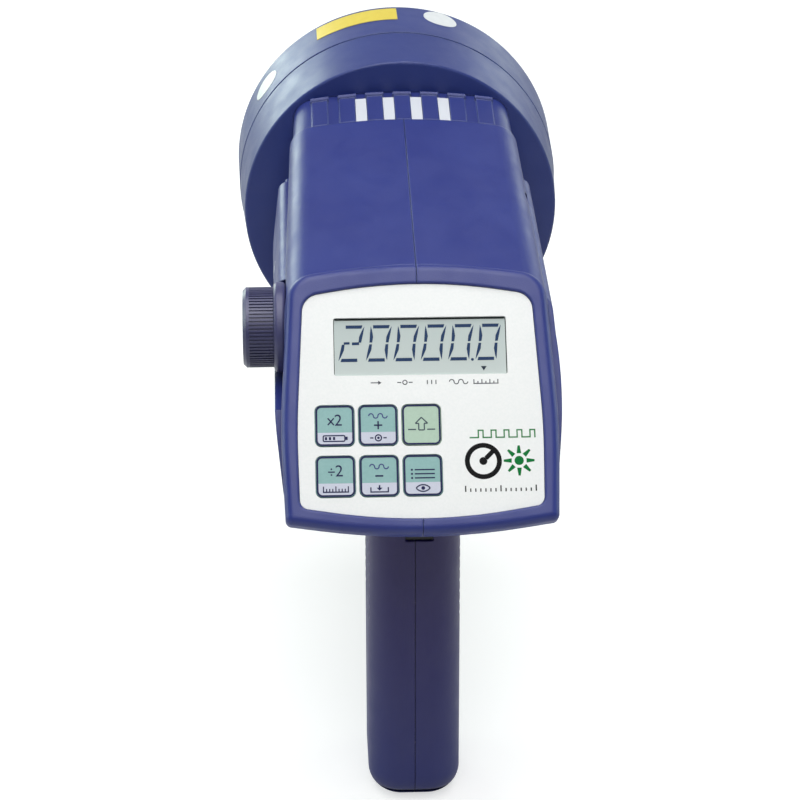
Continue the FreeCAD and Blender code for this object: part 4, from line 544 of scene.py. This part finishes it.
def waveMark(x, s):    # two turns of a wave
    marks = []
    for i in range(4):
        marks += arcBand((x - 2.25 + 1.5 * i, s), 0.75, 0.38, 180 * (i % 2), 180 + 180 * (i % 2), 10)
    return marks


keyFigure = {"size": 5.4, "x": 1.15, "rise": 1.65}


def doubleSign(x, s):    # a cross and a two
    marks = []
    for way in (1, -1):
        marks += bar((x - 2.25, s + 1.4 - 1.15 * way), (x - 0.25, s + 1.4 + 1.15 * way), 0.45)
    return marks + glyphFaces("2", keyFigure["size"], (x + keyFigure["x"], s + keyFigure["rise"]))


def halveSign(x, s):    # a line between dots and a two
    marks = bar((x - 2.45, s + 1.5), (x - 0.25, s + 1.5), 0.42)
    for way in (1, -1):
        marks += disc((x - 1.35, s + 1.5 + 0.95 * way), 0.28, 14)
    return marks + glyphFaces("2", keyFigure["size"], (x + keyFigure["x"], s + keyFigure["rise"]))


def plusSign(x, s):
    return bar((x - 1.35, s), (x + 1.35, s), 0.5) + bar((x, s - 1.35), (x, s + 1.35), 0.5)


def minusSign(x, s):
    return bar((x - 1.3, s), (x + 1.3, s), 0.55)


def shiftMark(x, s):    # an outlined arrow on a broken line
    outline = [(-2.0, 0.4), (0.0, 2.4), (2.0, 0.4), (0.9, 0.4), (0.9, -1.8), (-0.9, -1.8), (-0.9, 0.4),
               (-2.0, 0.4)]
    spots = [Vector((x + u, s + v)) for u, v in outline]
    marks = []
    for start, end in zip(spots, spots[1:]):
        marks += bar(start, end, 0.4)
    for side in (-1, 1):
        marks += bar((x + side * 1.8, s - 1.6), (x + side * 4.4, s - 1.6), 0.4)
    return marks


def listMark(x, s):
    marks = []
    for i in range(3):
        level = s + 1.85 - 1.35 * i
        marks += disc((x - 3.5, level), 0.36, 16) + bar((x - 2.6, level), (x + 3.9, level), 0.45)
    return marks


keyPrints = {    # sign, mark on the pale strip, small mark above the sign
    "key_double": (doubleSign, batteryMark, None),
    "key_plus": (plusSign, discMark, waveMark),
    "key_function": (shiftMark, None, None),
    "key_halve": (halveSign, ruleMark, None),
    "key_minus": (minusSign, trayMark, waveMark),
    "key_preset": (listMark, eyeMark, None),
}


def keyPrint(name, x, s, sign, stripSign, upperMark):
    half = (keys["width"] / 2 - keys["borderInset"], keys["height"] / 2 - keys["borderInset"])
    low = (x - half[0], s - half[1])
    high = (x + half[0], s + half[1])
    level = panel["keyFront"]
    inkLevel = level + panel["film"]
    stripTop = low[1] + (high[1] - low[1]) * keys["stripShare"]
    if stripSign:
        edge = keys["border"] * 0.8
        corners = ((low[0] + edge, low[1] + edge), (high[0] - edge, high[1] - edge))
        loop = roundedLoop(*corners, keys["corner"] - edge)
        strip = [Vector((point.x, min(point.y, stripTop))) for point in loop]
        tidy = [point for i, point in enumerate(strip) if (point - strip[i - 1]).length > 0.01]
        printOnPanel(name + "_strip", [tidy], level, "printPaleStrip", name)
        middle = (low[1] + edge + stripTop) / 2
        printOnPanel(name + "_stripMark", stripSign(x, middle), inkLevel, "printNavyInk", name)
    border = roundedFrame(low, high, keys["corner"], keys["border"])
    printOnPanel(name + "_border", border, inkLevel, "printNavyInk", name)
    printOnPanel(name + "_sign", sign(x, s), level, "printNavyInk" if stripSign else "printSlateInk", name)
    if upperMark:
        printOnPanel(name + "_upperMark", upperMark(x, s + 3.1), level, "printVioletInk", name)


keyNames = (("key_double", "key_plus", "key_function"), ("key_halve", "key_minus", "key_preset"))
for rowNames, s in zip(keyNames, keys["rows"]):
    for keyName, x in zip(rowNames, keys["columns"]):
        keyPrint(keyName, x, s, *keyPrints[keyName])
print("keys printed")


# Display

digits = {"height": 12.35, "width": 5.9, "slant": 0.155, "bar": 1.12, "gap": 0.3, "foot": 13.6,
          "first": -22.75, "pitch": 8.95, "flare": 0.2, "show": "200000", "pointAfter": 4}
segmentSets = {"2": "tmbUl", "0": "tbulUL"}    # capitals are the right-hand side, u and l upper and lower


def segmentFaces(x, s, figure):
    half = digits["width"] / 2
    mid = digits["height"] / 2
    top = digits["height"]
    wide = digits["bar"]
    gap = digits["gap"]

    def at(u, v):    # slanted place in the digit
        return Vector((x + u + v * digits["slant"], s + v))

    def flat(v, side):    # a level segment, longer on its outer side
        reach = half - wide * 0.35
        low = reach + digits["flare"] * (side < 0)
        high = reach + digits["flare"] * (side > 0)
        under = [at(-low, v - wide / 2), at(low, v - wide / 2)]
        return [under + [at(high, v + wide / 2), at(-high, v + wide / 2)]]

    def upright(side, low, high):    # a tapered blade, thickest at the end next to the middle
        outer = side * (half + wide * 0.25)
        inner = outer - side * wide * 0.95
        thick = low if abs(low - mid) < abs(high - mid) else high
        thin = high if thick == low else low
        step = side * wide
        return [[at(outer - step * 0.1, thick), at(outer + step * 0.1, (thick + thin) / 2),
                 at(outer + step * 0.2, thin), at(outer - step * 0.35, thin * 0.75 + thick * 0.25),
                 at(inner, thick * 0.65 + thin * 0.35), at(inner + step * 0.05, thick)]]

    faces = []
    if "t" in figure:
        faces += flat(top - wide / 2, 1)
    if "b" in figure:
        faces += flat(wide / 2, -1)
    if "m" in figure:
        faces += bar(at(-2.55, mid + 0.1), at(-0.65, mid + 0.15), 0.8)
        faces += bar(at(0.15, mid - 0.05), at(2.5, mid), 0.95)
    for name, side, low, high in (("u", -1, mid + gap, top - gap), ("U", 1, mid + gap, top - gap),
                                  ("l", -1, gap, mid - gap), ("L", 1, gap, mid - gap)):
        if name in figure:
            faces += upright(side, low, high)
    return faces


def displayReading():
    faces = []
    for index, figure in enumerate(digits["show"]):
        x = digits["first"] + digits["pitch"] * index
        faces += segmentFaces(x, digits["foot"], segmentSets[figure])
        if index == digits["pointAfter"]:
            faces += disc((x + digits["pitch"] / 2 + 0.1, digits["foot"] + 0.3), 0.48, 16)
    return faces


window = {"low": (-27.7, 8.7), "high": (28.9, 28.2), "corner": 0.8, "line": 0.25, "topLine": 0.6}


def windowGasket():    # painted shadow of the window's edge: a dark line round the display, widest at the top
    low, high = window["low"], window["high"]
    level = high[1] - window["topLine"] / 2
    faces = roundedFrame(low, high, window["corner"], window["line"])
    return faces + bar((low[0] + 0.6, level), (high[0] - 0.6, level), window["topLine"])


printOnPanel("displayReading", displayReading(), panel["displayFront"], "segmentBlueGrey", "housing")
printOnPanel("displayPointer", [[Vector((20.3, 11.6)), Vector((21.25, 10.1)), Vector((22.2, 11.6))]],
             panel["displayFront"], "segmentSlate", "housing")
# painted shadow of the sheet's window edge on the display
printOnPanel("displayGasket", windowGasket(), panel["displayFront"], "windowGasket", "housing")


# Marks on the white sheet

legend = {"level": 6.2, "places": (-14.1, -4.7, 4.0, 12.8, 21.7), "line": 0.32, "rise": 0.7}


def smallMarks():
    s = legend["level"]
    line = legend["line"]
    rise = legend["rise"]
    a, b, c, d, e = legend["places"]
    faces = bar((a - 1.75, s), (a + 0.7, s), line) + [[Vector((a + 0.7, s - rise)), Vector((a + 1.75, s)),
                                                       Vector((a + 0.7, s + rise))]]
    faces += arcBand((b, s), rise, line, 0, 360) + bar((b - 2.5, s), (b - 1.2, s), line)
    faces += bar((b + 1.2, s), (b + 2.5, s), line)
    for i in range(3):
        faces += bar((c - 1.4 + i * 1.4, s - rise), (c - 1.4 + i * 1.4, s + rise), line)
    for i in range(4):
        faces += arcBand((d - 2.25 + 1.5 * i, s), 0.75, line, 180 * (i % 2), 180 + 180 * (i % 2), 10)
    faces += bar((e - 4.1, s - rise), (e + 4.1, s - rise), line)
    for i in range(7):
        x = e - 3.9 + i * 1.3
        faces += bar((x, s - rise), (x, s + (rise if i % 2 == 0 else 0.1)), line)
    return faces


printOnPanel("sheetMarks", smallMarks(), panel["sheetFront"], "printGreyInk", "housing")

badge = {"disc": (20.0, -20.4), "radius": 6.0, "flash": (31.6, -20.4), "pulseLevel": -11.6,
         "scaleLevel": -29.6}


def turningDisc():    # a marked disc with an arrow for its turning
    centre = Vector(badge["disc"])
    radius = badge["radius"]
    faces = arcBand(centre, radius - 0.8, 1.6, 0, 360, 48) + disc(centre, 1.3)
    faces += bar(centre + Vector((0.9, 0.9)), centre + Vector((3.3, 3.3)), 1.5)
    for i in range(15):
        x = badge["disc"][0] - radius + i * (badge["flash"][0] + 5.2 - badge["disc"][0] + radius) / 14
        level = badge["scaleLevel"]
        faces += bar((x, level - 0.9), (x, level + (1.1 if i % 7 == 0 else 0.2)), 0.42)
    return faces


def flashRays():    # rays of a flash
    centre = Vector(badge["flash"])
    faces = disc(centre, 1.5)
    for i in range(8):
        ray = Vector((math.cos(math.pi * i / 4), math.sin(math.pi * i / 4)))
        faces += bar(centre + ray * 2.4, centre + ray * 5.0, 1.5, 0.7)
    return faces


def pulseTrain():
    faces = []
    level = badge["pulseLevel"]
    x = badge["disc"][0] - badge["radius"] + 2.0
    for i in range(5):
        start = x + 4.2 * i
        faces += bar((start - 0.22, level - 1.0), (start + 2.65, level - 1.0), 0.45)
        faces += bar((start + 2.65, level - 1.22), (start + 2.65, level + 1.4), 0.45)
        faces += bar((start + 2.42, level + 1.4), (start + 4.2, level + 1.4), 0.45)
        faces += bar((start + 4.2, level + 1.62), (start + 4.2, level - 1.22), 0.45)
    return faces


printOnPanel("turningDiscMark", turningDisc(), panel["sheetFront"], "printBlackInk", "housing")
printOnPanel("flashMark", flashRays(), panel["sheetFront"], "printGreenInk", "housing")
printOnPanel("pulseMark", pulseTrain(), panel["sheetFront"], "printLeafInk", "housing")
print("panel printed")


# Arrows beside the lead sockets, laid on the bowed side wall

sideMarks = {"film": 0.05, "lift": 0.01}


def printOnSide(name, faces, ink):    # faces are (y, z) places on the left side
    wall = nodes["left_housing"]
    corners = [vert.co for vert in wall.data.vertices]
    tree = BVHTree.FromPolygons(corners, [face.vertices[:] for face in wall.data.polygons])
    mesh = filmMesh(name, faces, sideMarks["film"])
    for vert in mesh.vertices:
        origin = Vector((-0.1, vert.co.x * mm, vert.co.y * mm))
        spot = tree.ray_cast(origin, Vector((1, 0, 0)))[0]
        vert.co = spot - Vector(((sideMarks["lift"] + vert.co.z) * mm, 0, 0))
    mesh.flip_normals()
    mesh.materials.append(inks[ink])
    piece = bpy.data.objects.new(name, mesh)
    bpy.context.scene.collection.objects.link(piece)
    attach(piece, "housing")


def socketArrows():
    faces = []
    for y, way in ((44.0, 1), (62.0, -1)):
        tip = 172.4 + way * 2.0
        faces += [[Vector((y - 1.5, tip - way * 2.2)), Vector((y, tip)), Vector((y + 1.5, tip - way * 2.2))]]
        faces += bar((y, tip - way * 2.2), (y, tip - way * 4.6), 0.8)
    return faces


printOnSide("socketArrows", socketArrows(), "legendWhiteInk")


# Floor, light and camera

studio = {"floorSize": 6.0, "floorColour": "#CCCCCC", "floorLift": 0.62, "floorGlow": 0.25, "ambient": 0.04,
          "surroundings": 0.16, "backdrop": 0.95}


def makeFloor():
    mesh = bpy.data.meshes.new("floor")
    half = studio["floorSize"] / 2
    corners = [(-half, -half, 0), (half, -half, 0), (half, half, 0), (-half, half, 0)]
    mesh.from_pydata(corners, [], [(0, 1, 2, 3)])
    floor = bpy.data.objects.new("floor", mesh)
    bpy.context.scene.collection.objects.link(floor)
    look = {"colour": studio["floorColour"], "roughness": 0.9}
    material, tree, shader, place = startMaterial("floorPaper", look)
    rays = addNode(tree, "ShaderNodeLightPath")
    seen = addNode(tree, "ShaderNodeMath", {"operation": "MAXIMUM"},
                   {0: rays.outputs["Is Camera Ray"], 1: rays.outputs["Is Transmission Ray"]})
    lift = addNode(tree, "ShaderNodeMath", {"operation": "MULTIPLY"},
                   {0: seen.outputs[0], 1: studio["floorLift"]})
    glow = addNode(tree, "ShaderNodeMath", {"operation": "MULTIPLY_ADD"},
                   {0: rays.outputs["Is Glossy Ray"], 1: studio["floorGlow"], 2: lift.outputs[0]})
    shader.inputs["Emission Color"].default_value = (1, 1, 1, 1)
    tree.links.new(glow.outputs[0], shader.inputs["Emission Strength"])
    mesh.materials.append(material)


def makeWorld():
    world = bpy.data.worlds.new("studio")
    bpy.context.scene.world = world
    world.use_nodes = True
    tree = world.node_tree
    background = tree.nodes["Background"]
    rays = addNode(tree, "ShaderNodeLightPath")
    seen = addNode(tree, "ShaderNodeMath", {"operation": "MAXIMUM"},
                   {0: rays.outputs["Is Camera Ray"], 1: rays.outputs["Is Transmission Ray"]})
    coords = addNode(tree, "ShaderNodeTexCoord")
    heading = addNode(tree, "ShaderNodeSeparateXYZ", inputs={"Vector": coords.outputs["Generated"]})
    beyond = addNode(tree, "ShaderNodeMapRange", {"interpolation_type": "SMOOTHSTEP"},
                     {"Value": heading.outputs["Y"], "From Min": -0.2, "From Max": 0.4})
    low = addNode(tree, "ShaderNodeMapRange", {"interpolation_type": "SMOOTHSTEP"},
                  {"Value": heading.outputs["Z"], "From Min": 0.6, "From Max": 0.15})
    share = addNode(tree, "ShaderNodeMath", {"operation": "MULTIPLY"}, {0: beyond.outputs["Result"],
                                                                        1: low.outputs["Result"]})
    sheen = addNode(tree, "ShaderNodeMapRange",
                    inputs={"Value": share.outputs[0], "To Min": studio["surroundings"],
                            "To Max": studio["backdrop"]})
    soft = addNode(tree, "ShaderNodeMapRange",
                   inputs={"Value": rays.outputs["Is Glossy Ray"], "To Min": studio["ambient"],
                           "To Max": sheen.outputs["Result"]})
    strength = addNode(tree, "ShaderNodeMapRange",
                       inputs={"Value": seen.outputs[0], "To Max": 1.0, "To Min": soft.outputs["Result"]})
    background.inputs["Color"].default_value = (1, 1, 1, 1)
    tree.links.new(strength.outputs["Result"], background.inputs["Strength"])


lamps = {
    "overhead": {"place": (0.0, 0.05, 1.25), "size": 1.0, "watts": 10.2, "colour": "#FFFFFF"},
    "key": {"place": (0.0, -0.60, 1.22), "size": 0.8, "watts": 5.6, "colour": "#FFFFFF"},
    "front": {"place": (-0.2, -1.5, 1.1), "size": 0.9, "watts": 2.2, "colour": "#FFFFFF"},
    "left": {"place": (-1.3, 0.3, 0.45), "size": 0.7, "watts": 5.6, "colour": "#E2F6E8"},
    "right": {"place": (1.3, 0.3, 0.45), "size": 0.7, "watts": 4.2, "colour": "#E2F6E8"},
    "backLeft": {"place": (-0.66, 1.2, 0.42), "size": 0.5, "watts": 5.0, "colour": "#E2F6E8"},
    "backRight": {"place": (0.66, 1.2, 0.42), "size": 0.5, "watts": 1.2, "colour": "#E2F6E8"},
}


def makeLamps():
    aim = Vector((0, 0.04, 0.16))
    for name, lamp in lamps.items():
        light = bpy.data.lights.new(name, "AREA")
        light.shape = "SQUARE"
        light.size = lamp["size"]
        light.energy = lamp["watts"]
        light.color = toLinear(lamp["colour"])[:3]
        holder = bpy.data.objects.new(name, light)
        holder.location = lamp["place"]
        holder.rotation_euler = (aim - Vector(lamp["place"])).to_track_quat("-Z", "Y").to_euler()
        bpy.context.scene.collection.objects.link(holder)


view = {"focalPixels": 2500, "imageWidth": 800, "sensorWidth": 36.0, "azimuth": -2.7, "elevation": 27.3,
        "roll": 0.37, "distance": 811.0, "centrePixel": (420, 400)}


def makeCamera():
    azimuth = math.radians(view["azimuth"])
    elevation = math.radians(view["elevation"])
    roll = math.radians(view["roll"])
    flatRight = Vector((math.cos(azimuth), math.sin(azimuth), 0))
    forward = Vector((-math.sin(azimuth) * math.cos(elevation), math.cos(azimuth) * math.cos(elevation),
                      -math.sin(elevation)))
    flatUp = flatRight.cross(forward)
    right = flatRight * math.cos(roll) + flatUp * math.sin(roll)
    up = flatUp * math.cos(roll) - flatRight * math.sin(roll)
    perPixel = view["distance"] / view["focalPixels"]
    middle = view["imageWidth"] / 2
    offset = right * (middle - view["centrePixel"][0]) + up * (view["centrePixel"][1] - middle)
    spot = Vector(panel["centre"]) - forward * view["distance"] + offset * perPixel
    lens = bpy.data.cameras.new("camera")
    lens.sensor_width = view["sensorWidth"]
    lens.lens = view["sensorWidth"] * view["focalPixels"] / view["imageWidth"]
    lens.clip_start = 0.01
    camera = bpy.data.objects.new("camera", lens)
    turn = Matrix((right, up, -forward)).transposed().to_4x4()
    camera.matrix_world = Matrix.Translation(spot * mm) @ turn
    bpy.context.scene.collection.objects.link(camera)
    bpy.context.scene.camera = camera


makeFloor()
makeWorld()
makeLamps()
makeCamera()
bpy.context.scene.view_settings.view_transform = "Standard"
print("studio ready")
